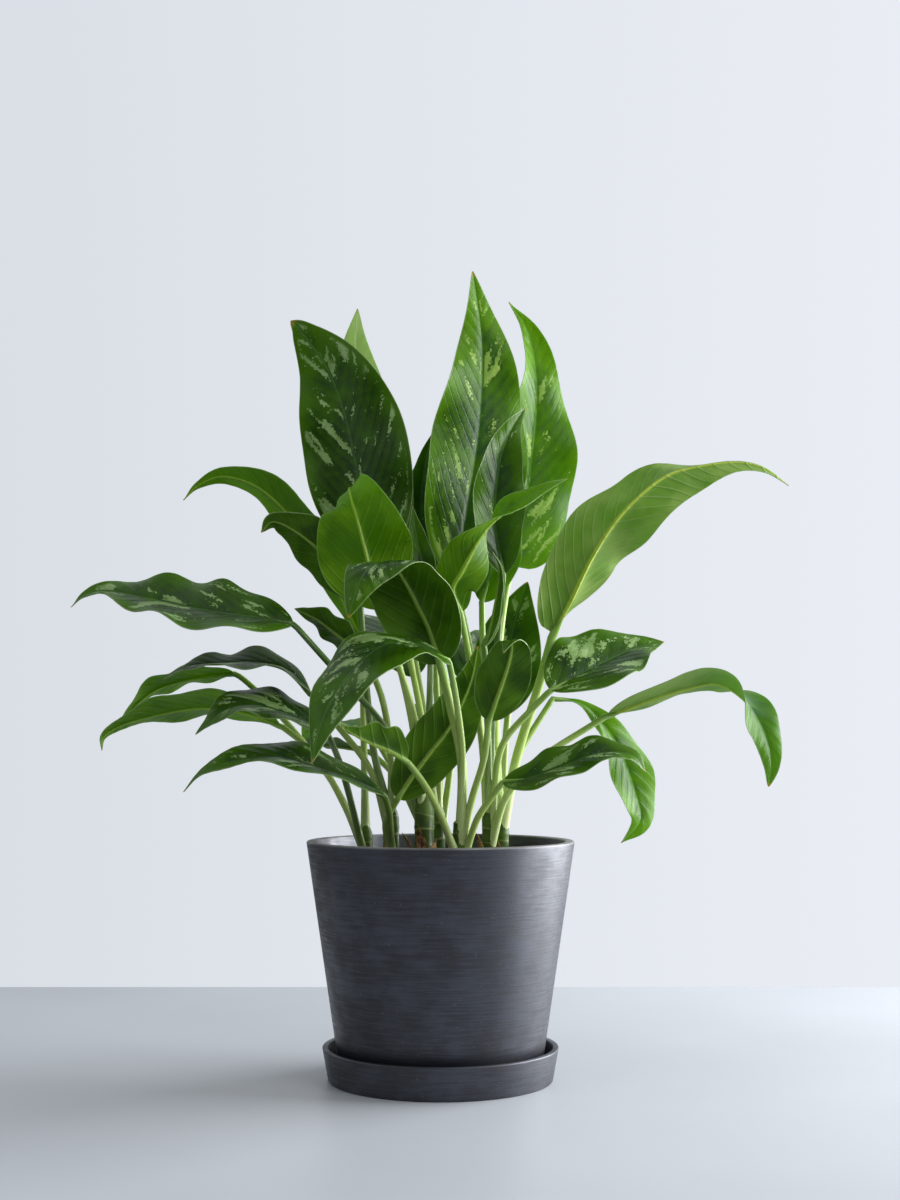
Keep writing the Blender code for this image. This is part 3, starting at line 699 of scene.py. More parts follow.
        # Relief in millimetres: a soft skin, fine lines and a furrow over each side vein
        skin = add(Kind.NOISE, {"Vector": at.flat, "Scale": 1 / self.quilt, "Detail": 1.0})
        relief = add(Kind.MATH, skin, 0.10, **TIMES)
        fine = add(Kind.MATH, at.vein, self.vein_spacing / 10, **TO_AND_FRO)
        relief = add(Kind.MATH, fine, 0.012, relief, **TIMES_PLUS)
        furrow = add(Kind.RANGE, cycle, 0.0, 1.8, **SOFT)
        relief = add(Kind.MATH, furrow, 0.10, relief, **TIMES_PLUS)
        bump = add(Kind.BUMP, {"Height": relief, "Distance": MM, "Strength": 1.0})
        gloss = add(Kind.RANGE, clouds, 0.3, 0.7, self.roughness - 0.05, self.roughness + 0.08)
        lit = add(Kind.MIX, {
            SHARE: marked, FIRST: srgb(self.through), SECOND: srgb(self.through_mark)}, **COLOURS)
        coat.let_through(lit, self.glow)
        return coat.finished(
            {"Base Color": colour, "Roughness": gloss, "Normal": bump}, IOR=self.refraction,
            Specular_IOR_Level=self.shine)


@dataclass(frozen=True)
class LeafUnder:
    """Paler satin lower face of a leaf, with a raised midrib and curved ribs.

    Sizes and spacings are in millimetres, strengths are shares.
    """

    name: str
    base: str
    shade: str
    rib: str
    midrib: str
    through: str
    glow: float
    rib_strength: float = 0.22
    shine: float = 0.30
    roughness: float = 0.38
    refraction: float = 1.38
    margin: str = "#b0cb86"
    tip: str = "#b8922e"
    cloud: float = 30.0
    # Drawn coarser than real, as a finer grain would not show from the camera
    grain: float = 0.9
    vein_spacing: float = VEIN_SPACING
    midrib_half: float = 1.5
    midrib_least: float = 0.35

    def make(self) -> bpy.types.Material:
        """Build the material, which gives soft undersides whose ribs and midrib stand out pale.

        Returns:
            The material.
        """
        coat = Coat.started(self.name)
        add = partial(add_node, coat.tree)
        at = BladeSockets.read(coat.tree)
        clouds = add(Kind.NOISE, {"Vector": at.flat, "Scale": 1 / self.cloud, "Detail": 2.0})
        rim = add(Kind.RANGE, at.edge, 14.0, 0.0, **SOFT)
        lively = add(Kind.MATH, rim, 0.15, clouds, **TIMES_PLUS)
        cycle = add(Kind.MATH, at.vein, self.vein_spacing / 2, **TO_AND_FRO)
        on_rib = add(Kind.RANGE, cycle, 1.1, 0.2, 0.0, self.rib_strength, **SOFT)
        off_margin = add(Kind.RANGE, at.edge, 1.0, 8.0, **SOFT)
        grains = add(Kind.NOISE, {"Vector": at.flat, "Scale": 1 / self.grain, "Detail": 2.0})
        half = add(Kind.RANGE, at.share, 0.0, 0.9, self.midrib_half, self.midrib_least)
        beyond = add(Kind.MATH, at.distance, half, operation="SUBTRACT")
        middle = add(Kind.RANGE, beyond, 0.25, -0.25, **SOFT)
        colour = srgb(self.shade)
        for share, tint in (
                (add(Kind.RANGE, lively, 0.40, 0.66, **SOFT), self.base),
                (add(Kind.MATH, on_rib, off_margin, **TIMES), self.rib),
                (add(Kind.RANGE, grains, 0.5, 0.75, 0.0, 0.18, **SOFT), self.rib),
                (middle, self.midrib),
                (add(Kind.RANGE, at.edge, 0.9, 0.3, 0.0, 0.4, **SOFT), self.margin),
                (add(Kind.RANGE, at.share, 0.975, 0.995, 0.0, 0.7, **SOFT), self.tip)):
            colour = add(Kind.MIX, {SHARE: share, FIRST: colour, SECOND: srgb(tint)}, **COLOURS)

        # Relief in millimetres: a grainy skin, fine lines and a ridge on each side vein
        relief = add(Kind.MATH, grains, 0.07, **TIMES)
        fine = add(Kind.MATH, at.vein, self.vein_spacing / 10, **TO_AND_FRO)
        relief = add(Kind.MATH, fine, -0.04, relief, **TIMES_PLUS)
        ridge = add(Kind.RANGE, cycle, 2.2, 0.0, **SOFT)
        relief = add(Kind.MATH, ridge, 0.30, relief, **TIMES_PLUS)
        bump = add(Kind.BUMP, {"Height": relief, "Distance": MM, "Strength": 1.0})
        gloss = add(Kind.RANGE, clouds, 0.3, 0.7, self.roughness - 0.04, self.roughness + 0.08)
        lit = add(Kind.MIX, {
            SHARE: add(Kind.MATH, middle, 0.6, **TIMES), FIRST: srgb(self.through),
            SECOND: srgb(self.midrib)}, **COLOURS)
        coat.let_through(lit, self.glow)
        return coat.finished(
            {"Base Color": colour, "Roughness": gloss, "Normal": bump}, IOR=self.refraction,
            Specular_IOR_Level=self.shine)


@dataclass(frozen=True)
class StalkSkin:
    """Smooth juicy skin of stalks and canes: pale at the foot, green above, ringed on the canes, with
    painted shade on stalks out of the light.

    Sizes and spacings are in millimetres.
    """

    name: str = "stalk_skin"
    foot: str = "#d8e4a8"
    middle: str = "#b0cb60"
    upper: str = "#7aa82c"
    # Painted shade: the colours of a stalk out of the light, at its foot and above
    painted_shade_foot: str = "#7c9c50"
    painted_shade_upper: str = "#2f5a12"
    lip: str = "#dfe8bd"
    cane: str = "#364d16"
    cane_light: str = "#5c7a2a"
    scar: str = "#9aa56a"
    shine: float = 0.4
    cloud: float = 22.0
    # Drawn coarser than real, as finer fibres would not show from the camera
    fibre_width: float = 0.9
    fibre_length: float = 30.0
    ring_spacing: float = RING_SPACING
    ring_stray: float = 16.0

    def make(self) -> bpy.types.Material:
        """Build the material, which gives fresh satin stalks with fine lengthwise fibres.

        Returns:
            The material.
        """
        coat = Coat.started(self.name)
        add = partial(add_node, coat.tree)
        place = add(Kind.MAP, uv_map=UV_STALK)
        around = add(Kind.SPLIT, place)
        along = around.node.outputs[1]
        share = add(Kind.SPLIT, add(Kind.MAP, uv_map=UV_GROWTH))
        kind = share.node.outputs[1]
        fibre_place = add(
            Kind.JOIN, add(Kind.MATH, around, self.fibre_width, operation="DIVIDE"),
            add(Kind.MATH, along, self.fibre_length, operation="DIVIDE"))
        fibres = add(Kind.NOISE, {"Vector": fibre_place, "Scale": 1.0, "Detail": 2.0})
        clouds = add(Kind.NOISE, {"Vector": place, "Scale": 1 / self.cloud, "Detail": 2.0})
        low = add(Kind.RANGE, add(Kind.MATH, clouds, 0.3, share, **TIMES_PLUS), 0.12, 0.55, **SOFT)
        # Painted shade: stalks out of the light are drawn in darker colours, as far as the growth map says
        dark = add(Kind.MIX, {
            SHARE: low, FIRST: srgb(self.painted_shade_foot), SECOND: srgb(self.painted_shade_upper)}, **COLOURS)

        # The cane's rings are the scars of fallen leaves, at uneven heights
        squat = add(Kind.STRETCH, place, None, None, (0.3, 1.0, 1.0))
        uneven = add(Kind.NOISE, {"Vector": squat, "Scale": 1 / self.ring_stray, "Detail": 1.0})
        height = add(Kind.MATH, uneven, self.ring_stray, along, **TIMES_PLUS)
        cycle = add(Kind.MATH, height, self.ring_spacing / 2, **TO_AND_FRO)
        bark = srgb(self.cane)
        for part, tint in (
                (add(Kind.RANGE, clouds, 0.35, 0.65, **SOFT), self.cane_light),
                (add(Kind.RANGE, cycle, 1.0, 0.2, 0.0, 0.55, **SOFT), self.scar)):
            bark = add(Kind.MIX, {SHARE: part, FIRST: bark, SECOND: srgb(tint)}, **COLOURS)
        colour = srgb(self.foot)
        for part, tint in (
                (low, srgb(self.middle)),
                (add(Kind.RANGE, share, 0.5, 1.0, **SOFT), srgb(self.upper)),
                (add(Kind.RANGE, kind, 0.0, DEEPEST_STALK_SHADE), dark),
                (add(Kind.RANGE, fibres, 0.42, 0.7, 0.0, 0.25, **SOFT), srgb(self.lip)),
                (add(Kind.RANGE, kind, 0.7, 0.9), bark)):
            colour = add(Kind.MIX, {SHARE: part, FIRST: colour, SECOND: tint}, **COLOURS)
        relief = add(Kind.MATH, fibres, 0.12, **TIMES)
        bump = add(Kind.BUMP, {"Height": relief, "Distance": MM, "Strength": 1.0})
        gloss = add(Kind.RANGE, clouds, 0.3, 0.7, 0.36, 0.5)
        return coat.finished(
            {"Base Color": colour, "Roughness": gloss, "Normal": bump}, Specular_IOR_Level=self.shine,
            Subsurface_Weight=0.15, Subsurface_Scale=2.0 * MM, Subsurface_Radius=(0.6, 1.0, 0.3))


@dataclass(frozen=True)
class PaperyScale:
    """Dry brown papery remains of old sheaths, their fibres in millimetres."""

    name: str = "papery_scale"
    dark: str = "#5e3b20"
    light: str = "#b8935f"
    fibre: float = 1.2
    roughness: float = 0.75

    def make(self) -> bpy.types.Material:
        """Build the material, which gives thin tan scales with darker fibres.

        Returns:
            The material.
        """
        coat = Coat.started(self.name)
        add = partial(add_node, coat.tree)
        place = add(Kind.STRETCH, add(Kind.PLACE, out="Object"), None, None, (1.0, 1.0, 0.12))
        fibres = add(Kind.NOISE, {"Vector": place, "Scale": 1 / (self.fibre * MM), "Detail": 3.0})
        colour = add(Kind.MIX, {
            SHARE: add(Kind.RANGE, fibres, 0.35, 0.65, **SOFT), FIRST: srgb(self.dark),
            SECOND: srgb(self.light)}, **COLOURS)
        bump = add(Kind.BUMP, {"Height": fibres, "Distance": 0.3 * MM, "Strength": 1.0})
        return coat.finished({"Base Color": colour, "Normal": bump}, Roughness=self.roughness)


@dataclass(frozen=True)
class RubbedPlastic:
    """Charcoal moulded plastic, its dull skin rubbed in fine level lines, with pale specks and a pale band
    on top of the lip: painted highlight along with wear.

    Sizes are in millimetres, but the two heights where the lip's pale band of wear and painted highlight
    begins are in metres.
    """

    name: str = "rubbed_charcoal_plastic"
    dark: str = "#0c0d10"
    light: str = "#292c35"
    specks_and_lip_highlight: str = "#7d7c7a"
    reflected: str = "#f0f4ff"
    shine: float = 0.85
    roughness: float = 0.42
    lip_low: float = 0.1762
    lip_high: float = 0.1778
    # Drawn coarser than real, as finer lines would not show from the camera
    line_width: float = 1.3
    cloud: float = 24.0
    speck: float = 1.6
    pore: float = 0.9

    def make(self) -> bpy.types.Material:
        """Build the material, which gives a stone-like dark grey with a broad soft sheen.

        Returns:
            The material.
        """
        coat = Coat.started(self.name)
        add = partial(add_node, coat.tree)
        place = add(Kind.PLACE, out="Object")
        level = add(Kind.STRETCH, place, None, None, (0.05, 0.05, 1.0))
        lines = add(Kind.NOISE, {
            "Vector": level, "Scale": 1 / (self.line_width * MM), "Detail": 3.0, "Roughness": 0.6})
        clouds = add(Kind.NOISE, {
            "Vector": place, "Scale": 1 / (self.cloud * MM), "Detail": 4.0, "Roughness": 0.6})
        rubbed = add(Kind.MATH, add(Kind.MATH, lines, clouds, **PLUS), 0.5, **TIMES)
        dust = add(Kind.NOISE, {"Vector": place, "Scale": 1 / (self.speck * MM), "Detail": 1.0})
        specks = add(Kind.RANGE, dust, 0.75, 0.80, 0.0, 0.55, **SOFT)
        height = add(Kind.SPLIT, place, out=2)
        # The lip's top is painted pale: a painted highlight along with its wear
        near_lip = add(Kind.RANGE, height, self.lip_low, self.lip_high, **SOFT)
        lip = add(Kind.MATH, near_lip, add(Kind.RANGE, clouds, 0.30, 0.55, 0.35, 0.8), **TIMES)
        colour = srgb(self.dark)
        for share, tint in (
                (add(Kind.RANGE, rubbed, 0.41, 0.61, **SOFT), self.light),
                (add(Kind.MATH, specks, lip, operation="MAXIMUM"), self.specks_and_lip_highlight)):
            colour = add(Kind.MIX, {SHARE: share, FIRST: colour, SECOND: srgb(tint)}, **COLOURS)
        gloss = add(Kind.RANGE, rubbed, 0.38, 0.62, self.roughness + 0.14, self.roughness - 0.10)
        pores = add(Kind.NOISE, {"Vector": place, "Scale": 1 / (self.pore * MM), "Detail": 2.0})
        relief = add(Kind.MATH, add(Kind.MATH, lines, pores, **PLUS), 0.10, **TIMES)
        bump = add(Kind.BUMP, {"Height": relief, "Distance": MM, "Strength": 0.8})
        return coat.finished(
            {"Base Color": colour, "Roughness": gloss, "Normal": bump}, Specular_IOR_Level=self.shine,
            Specular_Tint=srgb(self.reflected))


@dataclass(frozen=True)
class Crumbly:
    """Rough broken stuff of the potting mix: earth, bark or perlite, with grains in millimetres."""

    name: str
    dark: str
    light: str
    grain: float
    roughness: float = 0.92

    def make(self) -> bpy.types.Material:
        """Build the material, which gives uneven matt grains.

        Returns:
            The material.
        """
        coat = Coat.started(self.name)
        add = partial(add_node, coat.tree)
        place = add(Kind.PLACE, out="Object")
        grains = add(Kind.NOISE, {
            "Vector": place, "Scale": 1 / (self.grain * MM), "Detail": 4.0, "Roughness": 0.7})
        colour = add(Kind.MIX, {
            SHARE: add(Kind.RANGE, grains, 0.35, 0.65, **SOFT), FIRST: srgb(self.dark),
            SECOND: srgb(self.light)}, **COLOURS)
        bump = add(Kind.BUMP, {"Height": grains, "Distance": MM, "Strength": 1.0})
        return coat.finished({"Base Color": colour, "Normal": bump}, Roughness=self.roughness)


@dataclass(frozen=True)
class PaintedFloor:
    """Pale grey painted table top with a faint sheen."""

    name: str = "painted_floor"
    dark: str = "#a9adb2"
    light: str = "#b0b4b9"
    cloud: float = 400.0
    roughness: float = 0.42

    def make(self) -> bpy.types.Material:
        """Build the material, which gives a plain pale surface that takes a soft shadow.

        Returns:
            The material.
        """
        coat = Coat.started(self.name)
        add = partial(add_node, coat.tree)
        place = add(Kind.PLACE, out="Object")
        clouds = add(Kind.NOISE, {"Vector": place, "Scale": 1 / (self.cloud * MM), "Detail": 3.0})
        colour = add(Kind.MIX, {
            SHARE: add(Kind.RANGE, clouds, 0.3, 0.7, **SOFT), FIRST: srgb(self.dark),
            SECOND: srgb(self.light)}, **COLOURS)
        return coat.finished({"Base Color": colour}, Roughness=self.roughness)


def placed(point: tuple) -> Vector:
    """Find the world place of a point.

    Args:
        point: Across, up and back as the eye reads them, in millimetres.

    Returns:
        The place in metres.
    """
    across, up, back = point
    spread = (EYE_DISTANCE + back) / EYE_DISTANCE
    return Vector((across * spread, back, EYE_HEIGHT + (up - EYE_HEIGHT) * spread)) * MM


def distances(places: list[Vector]) -> list[float]:
    """Measure how far along a path each of its places is.

    Args:
        places: The places in order.

    Returns:
        The way from the first place to each of them.
    """
    run = [0.0]
    for here, there in zip(places, places[1:]):
        run.append(run[-1] + (there - here).length)
    return run


def tangents_along(places: list[Vector]) -> list[Vector]:
    """Find the direction of a path at each of its places.

    Args:
        places: The places in order.

    Returns:
        A unit vector for each place, from the place before it to the one after it.
    """
    last = len(places) - 1
    return [
        (places[min(index + 1, last)] - places[max(index - 1, 0)]).normalized()
        for index in range(last + 1)
    ]


def carried_normals(tangents: list[Vector], start: int, normal: Vector) -> list[Vector]:
    """Carry a normal along a path without twisting it, both ways from one place.

    Args:
        tangents: The path's direction at each place.
        start: The number of the place where the normal is given.
        normal: The normal there, which is made square to the path.

    Returns:
        The normal at each place.
    """
    last = len(tangents) - 1
    normals = [normal] * (last + 1)
    normals[start] = (normal - normal.dot(tangents[start]) * tangents[start]).normalized()
    for index in range(start + 1, last + 1):
        normals[index] = tangents[index - 1].rotation_difference(tangents[index]) @ normals[index - 1]
    for index in range(start - 1, -1, -1):
        normals[index] = tangents[index + 1].rotation_difference(tangents[index]) @ normals[index + 1]
    return normals


def smooth_path(points: list[Vector], sections: int, fineness: int = 24) -> list[Vector]:
    """Find evenly spaced places on a smooth curve through points.

    Args:
        points: The places that the curve goes through.
        sections: How many equal stretches it is cut into.
        fineness: Steps between two points while the curve is measured.

    Returns:
        One place more than there are stretches.
    """
    ends = [2 * points[0] - points[1], *points, 2 * points[-1] - points[-2]]
    dense = []
    for before, start, end, after in zip(ends, ends[1:], ends[2:], ends[3:]):
        for step in range(fineness):
            f = step / fineness
            dense.append(
                0.5 * (2 * start + (end - before) * f + (2 * before - 5 * start + 4 * end - after) * f**2
                       + (3 * start - before - 3 * end + after) * f**3)
            )
    dense.append(points[-1].copy())
    run = distances(dense)
    places = []
    index = 0
    for section in range(sections + 1):
        goal = run[-1] * section / sections
        while index < len(run) - 2 and run[index + 1] < goal:
            index += 1
        share = (goal - run[index]) / (run[index + 1] - run[index])
        places.append(dense[index].lerp(dense[index + 1], share))
    return places


def rounded_route(points: list[Vector], sections: int) -> list[Vector]:
    """Find evenly spaced places on a route of straight stretches, its corners rounded.

    Args:
        points: The corners of the route.
        sections: How many stretches it is cut into.

    Returns:
        One place more than there are stretches.
    """
    run = distances(points)
    corners = np.array([point[:] for point in points])
    even = np.linspace(0.0, run[-1], ROUTE_STEPS + 1)
    dense = np.column_stack([np.interp(even, run, corners[:, axis]) for axis in range(3)])
    for _ in range(ROUTE_PASSES):
        calmed = dense.copy()
        for index in range(1, ROUTE_STEPS):
            reach = min(index, ROUTE_STEPS - index, ROUTE_REACH)
            calmed[index] = dense[index - reach:index + reach + 1].mean(axis=0)
        dense = calmed
    return [Vector(dense[round(section * ROUTE_STEPS / sections)]) for section in range(sections + 1)]


def eased(values: tuple, share: float) -> float:
    """Read a value off evenly spaced ones, with soft changes between them.

    Args:
        values: The values from start to end.
        share: How far along it is read.

    Returns:
        The value there.
    """
    spans = len(values) - 1
    index = min(int(share * spans), spans - 1)
    part = share * spans - index
    part = part**2 * (3 - 2 * part)
    return values[index] * (1 - part) + values[index + 1] * part


def choose_only(body: bpy.types.Object) -> None:
    """Select one piece and make it the active one.

    Args:
        body: The piece.
    """
    bpy.ops.object.select_all(action="DESELECT")
    body.select_set(True)
    bpy.context.view_layer.objects.active = body


def formed_grid(name: str, columns: int, rows: int,
                place: Callable[[float, float], Vector]) -> bpy.types.Object:
    """Add a grid without its own map and move each of its points to its place on a surface.

    Args:
        name: The new object's name.
        columns: Cells from side to side.
        rows: Cells from end to end.
        place: Gives the place for the shares from side to side and from end to end.

    Returns:
        The new object.
    """
    bpy.ops.object.select_all(action="DESELECT")
    bpy.ops.mesh.primitive_grid_add(x_subdivisions=columns, y_subdivisions=rows, size=2)
    body = bpy.context.object
    body.name = body.data.name = name
    for vert in body.data.vertices:
        vert.co = place((vert.co.x + 1) / 2, (vert.co.y + 1) / 2)
    body.data.uv_layers.remove(body.data.uv_layers[0])
    return body


def write_map(body: bpy.types.Object, name: str, values: list[tuple[float, float]]) -> None:
    """Store two numbers a point as a map that finishes read.

    Args:
        body: The piece.
        name: The map's name.
        values: Two numbers for each point of the mesh.
    """
    mesh = body.data
    layer = mesh.uv_layers.new(name=name, do_init=False)
    corners = np.empty(len(mesh.loops), dtype=np.int32)
    mesh.loops.foreach_get("vertex_index", corners)
    layer.data.foreach_set("uv", np.array(values, dtype=np.float32)[corners].ravel())


def close_up(body: bpy.types.Object) -> None:
    """Merge the points that meet, fill open ends and turn the faces outwards.

    Args:
        body: The piece.
    """
    choose_only(body)
    bpy.ops.object.mode_set(mode="EDIT")
    bpy.ops.mesh.select_all(action="SELECT")
    bpy.ops.mesh.remove_doubles(threshold=MERGE)
    bpy.ops.mesh.select_all(action="DESELECT")
    bpy.ops.mesh.select_non_manifold(extend=False)
    if body.data.total_edge_sel:
        bpy.ops.mesh.fill_holes(sides=0)
    bpy.ops.mesh.select_all(action="SELECT")
    bpy.ops.mesh.normals_make_consistent(inside=False)
    bpy.ops.object.mode_set(mode="OBJECT")


def smooth(body: bpy.types.Object, angle: float) -> None:
    """Shade the piece smooth but for edges sharper than the angle in degrees."""
    choose_only(body)
    bpy.ops.object.shade_smooth_by_angle(angle=radians(angle))


def apply_modifiers(body: bpy.types.Object) -> None:
    """Apply all of the piece's modifiers in order.

    Args:
        body: The piece.
    """
    choose_only(body)
    for modifier in list(body.modifiers):
        bpy.ops.object.modifier_apply(modifier=modifier.name)


def hand_over(body: bpy.types.Object, node: str, slot: str) -> None:
    """Put a finished piece on the object in place of its plain solid.

    Args:
        body: The piece.
        node: The solid that it stands for.
        slot: The record's finish, which is not used.
    """
    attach(body, BODY)
    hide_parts(node)
    LOG.info("%s stands for %s: %d faces", body.name, node, len(body.data.polygons))


def joined(pieces: list[bpy.types.Object], name: str) -> bpy.types.Object:
    """Join pieces into one, with its place in its mesh.

    Args:
        pieces: The pieces.
        name: The joined piece's name.

    Returns:
        The joined piece.
    """
    choose_only(pieces[0])
    for piece in pieces:
        piece.select_set(True)
    bpy.ops.object.transform_apply(location=True, rotation=True, scale=True)
    bpy.ops.object.join()
    body = bpy.context.object
    body.name = body.data.name = name
    return body


@dataclass
class BladeForm:
    """Places on a blade, from the same measures as its solid, in millimetres."""

    leaf: Leaf
    seed: float = 0.0
    rows: int = 108
    tip_blunt: float = 0.35
    base_blunt: float = 1.6
    groove: float = 0.7
    groove_width: float = 1.5
    groove_fade: float = 0.6
    pleat: float = 0.24
    pleat_spacing: float = VEIN_SPACING
    buckle: float = 1.0
    buckle_size: float = 34.0
    # Relief is full from this half width and this far from the midrib, and it calms at the margin
    full_half: float = 9.0
    full_distance: float = 6.0
    margin_calm: float = 0.7
    vein_lead: float = 1.15
    vein_bow: float = 0.012
    phase_left: float = 2.1
    phase_right: float = 0.4
    frames: list = field(default_factory=list)
    length: float = 0.0

    def __post_init__(self) -> None:
        """Work out the blade's frames and length."""
        self.frames = self.stations()
        self.length = distances([place for place, _, _ in self.frames])[-1] / MM

    def stations(self) -> list[tuple[Vector, Vector, Vector]]:
        """Find the blade's frames.

        Returns:
            Place, tangent and top normal at each station from the blade's base to its tip.
        """
        places = smooth_path([placed(point) for point in self.leaf.spine], self.rows)
        tangents = tangents_along(places)
        normals = carried_normals(tangents, self.rows // 2, Vector(self.leaf.face))
        frames = []
        for index, (place, tangent, normal) in enumerate(zip(places, tangents, normals)):
            turn = Quaternion(tangent, radians(eased(self.leaf.roll, index / self.rows)))
            frames.append((place, tangent, turn @ normal))
        return frames

    def half_width(self, share: float, across: float = 0.0) -> float:
        """Find the half width: rounded base, one widest place and drawn tip.

        Args:
            share: How far along the blade it is taken.
            across: Which half, as the sides may differ.

        Returns:
            The half width in millimetres.
        """
        leaf = self.leaf
        lean = log(0.5) / log(leaf.widest)
        swell = max(sin(pi * share**lean), 0.0) ** leaf.fullness
        least = self.base_blunt + (self.tip_blunt - self.base_blunt) * min(1.0, 2 * share)
        half = max(leaf.half_width * swell * (1 - leaf.drawn * share**4), least)
        return half * (1 + leaf.lean * across)

    def vein(self, share: float, distance: float) -> float:
        """Where on the midrib, in millimetres, the side vein through a point leaves it."""
        return share * self.length - self.vein_lead * distance - self.vein_bow * distance**2

    def place(self, share: float, across: float) -> Vector:
        """Find a place on the top face.

        Args:
            share: How far along the blade it is.
            across: From -1 at one margin to 1 at the other.

        Returns:
            The place in metres.
        """
        leaf = self.leaf
        place, tangent, normal = self.frames[round(share * self.rows)]
        side = tangent.cross(normal)
        half = self.half_width(share, across)
        rise = half * (tan(radians(leaf.fold)) * abs(across) - leaf.arch * across**2)
        phase = self.phase_left if across < 0 else self.phase_right
        rise += leaf.ripple * sin(2 * pi * leaf.waves * share + phase) * across**2 * sin(pi * share)
        reach = cos(radians(leaf.fold)) * half * across
        distance = abs(reach)
        slender = min(1.0, half / self.full_half)
        shallow = slender * (1 - share) ** self.groove_fade
        rise -= self.groove * shallow * exp(-((distance / self.groove_width) ** 2))
        free = min(1.0, distance / self.full_distance) * slender**2 * (1 - self.margin_calm * across**4)
        rise += self.pleat * free * cos(2 * pi * self.vein(share, distance) / self.pleat_spacing)
        spot = Vector((reach, share * self.length, self.seed)) / self.buckle_size
        rise += self.buckle * free * noise.noise(spot)
        return place + side * reach * MM + normal * rise * MM


@dataclass
class Blade:
    """One leaf blade: a waved sheet with a groove on top and a midrib below."""

    leaf: Leaf
    number: int
    slot: str
    columns: int = 24
    crowd: float = 1.5
    thin: float = 0.5
    rib: float = 1.9
    rib_width: float = 1.5
    rib_taper: float = 0.65
    rib_fade: float = 0.7
    rib_full_half: float = 8.0
    lift: float = 0.25
    smooth_angle: float = 60.0
    seed_step: float = 7.3

    def build(self, finishes: list[bpy.types.Material]) -> bpy.types.Object:
        """Model and dress the blade.

        Args:
            finishes: The finishes of the top and of the underside.

        Returns:
            The finished piece.
        """
        form = BladeForm(self.leaf, self.number * self.seed_step)
        maps = {UV_BLADE: [], UV_VEIN: [], UV_GROWTH: []}
        ribs = []
        habit = MARKINGS.get(self.leaf.name, MARKINGS_USUAL)
        offset = self.number * MAP_STEP

        def place(side: float, share: float) -> Vector:
            """Find a grid point's place, noting what the finishes need to know of it.

            Args:
                side: Share from margin to margin.
                share: Share from base to tip.

            Returns:
                The place in metres.
            """
            centred = 2 * side - 1
            across = abs(centred) ** self.crowd * (1 if centred > 0 else -1)
            half = form.half_width(share, across)
            distance = abs(across) * half
            maps[UV_BLADE].append((across * half, share * form.length + offset))
            maps[UV_VEIN].append((half - distance, form.vein(share, distance) + offset))
            maps[UV_GROWTH].append((share, habit))
            width = self.rib_width * (1 - self.rib_taper * share)
            height = (1 - share) ** self.rib_fade * min(1.0, half / self.rib_full_half)
            ribs.append(exp(-((distance / width) ** 2)) * height)
            normal = form.frames[round(share * form.rows)][2]
            return form.place(share, across) + normal * self.lift * MM

        body = formed_grid(self.leaf.name.replace("leaf", "blade"), self.columns, form.rows, place)
        for name, values in maps.items():
            write_map(body, name, values)
        group = body.vertex_groups.new(name="midrib")
        for index, weight in enumerate(ribs):
            group.add([index], weight, "REPLACE")
        for finish in finishes:
            body.data.materials.append(finish)
        solid = body.modifiers.new("thickness", "SOLIDIFY")
        solid.thickness = self.rib * MM
        solid.offset = -1.0
        solid.vertex_group = group.name
        solid.thickness_vertex_group = self.thin / self.rib
        solid.material_offset = Side.UNDER.value
        apply_modifiers(body)
        body.vertex_groups.clear()
        smooth(body, self.smooth_angle)
        hand_over(body, self.leaf.name, self.slot)
        return body


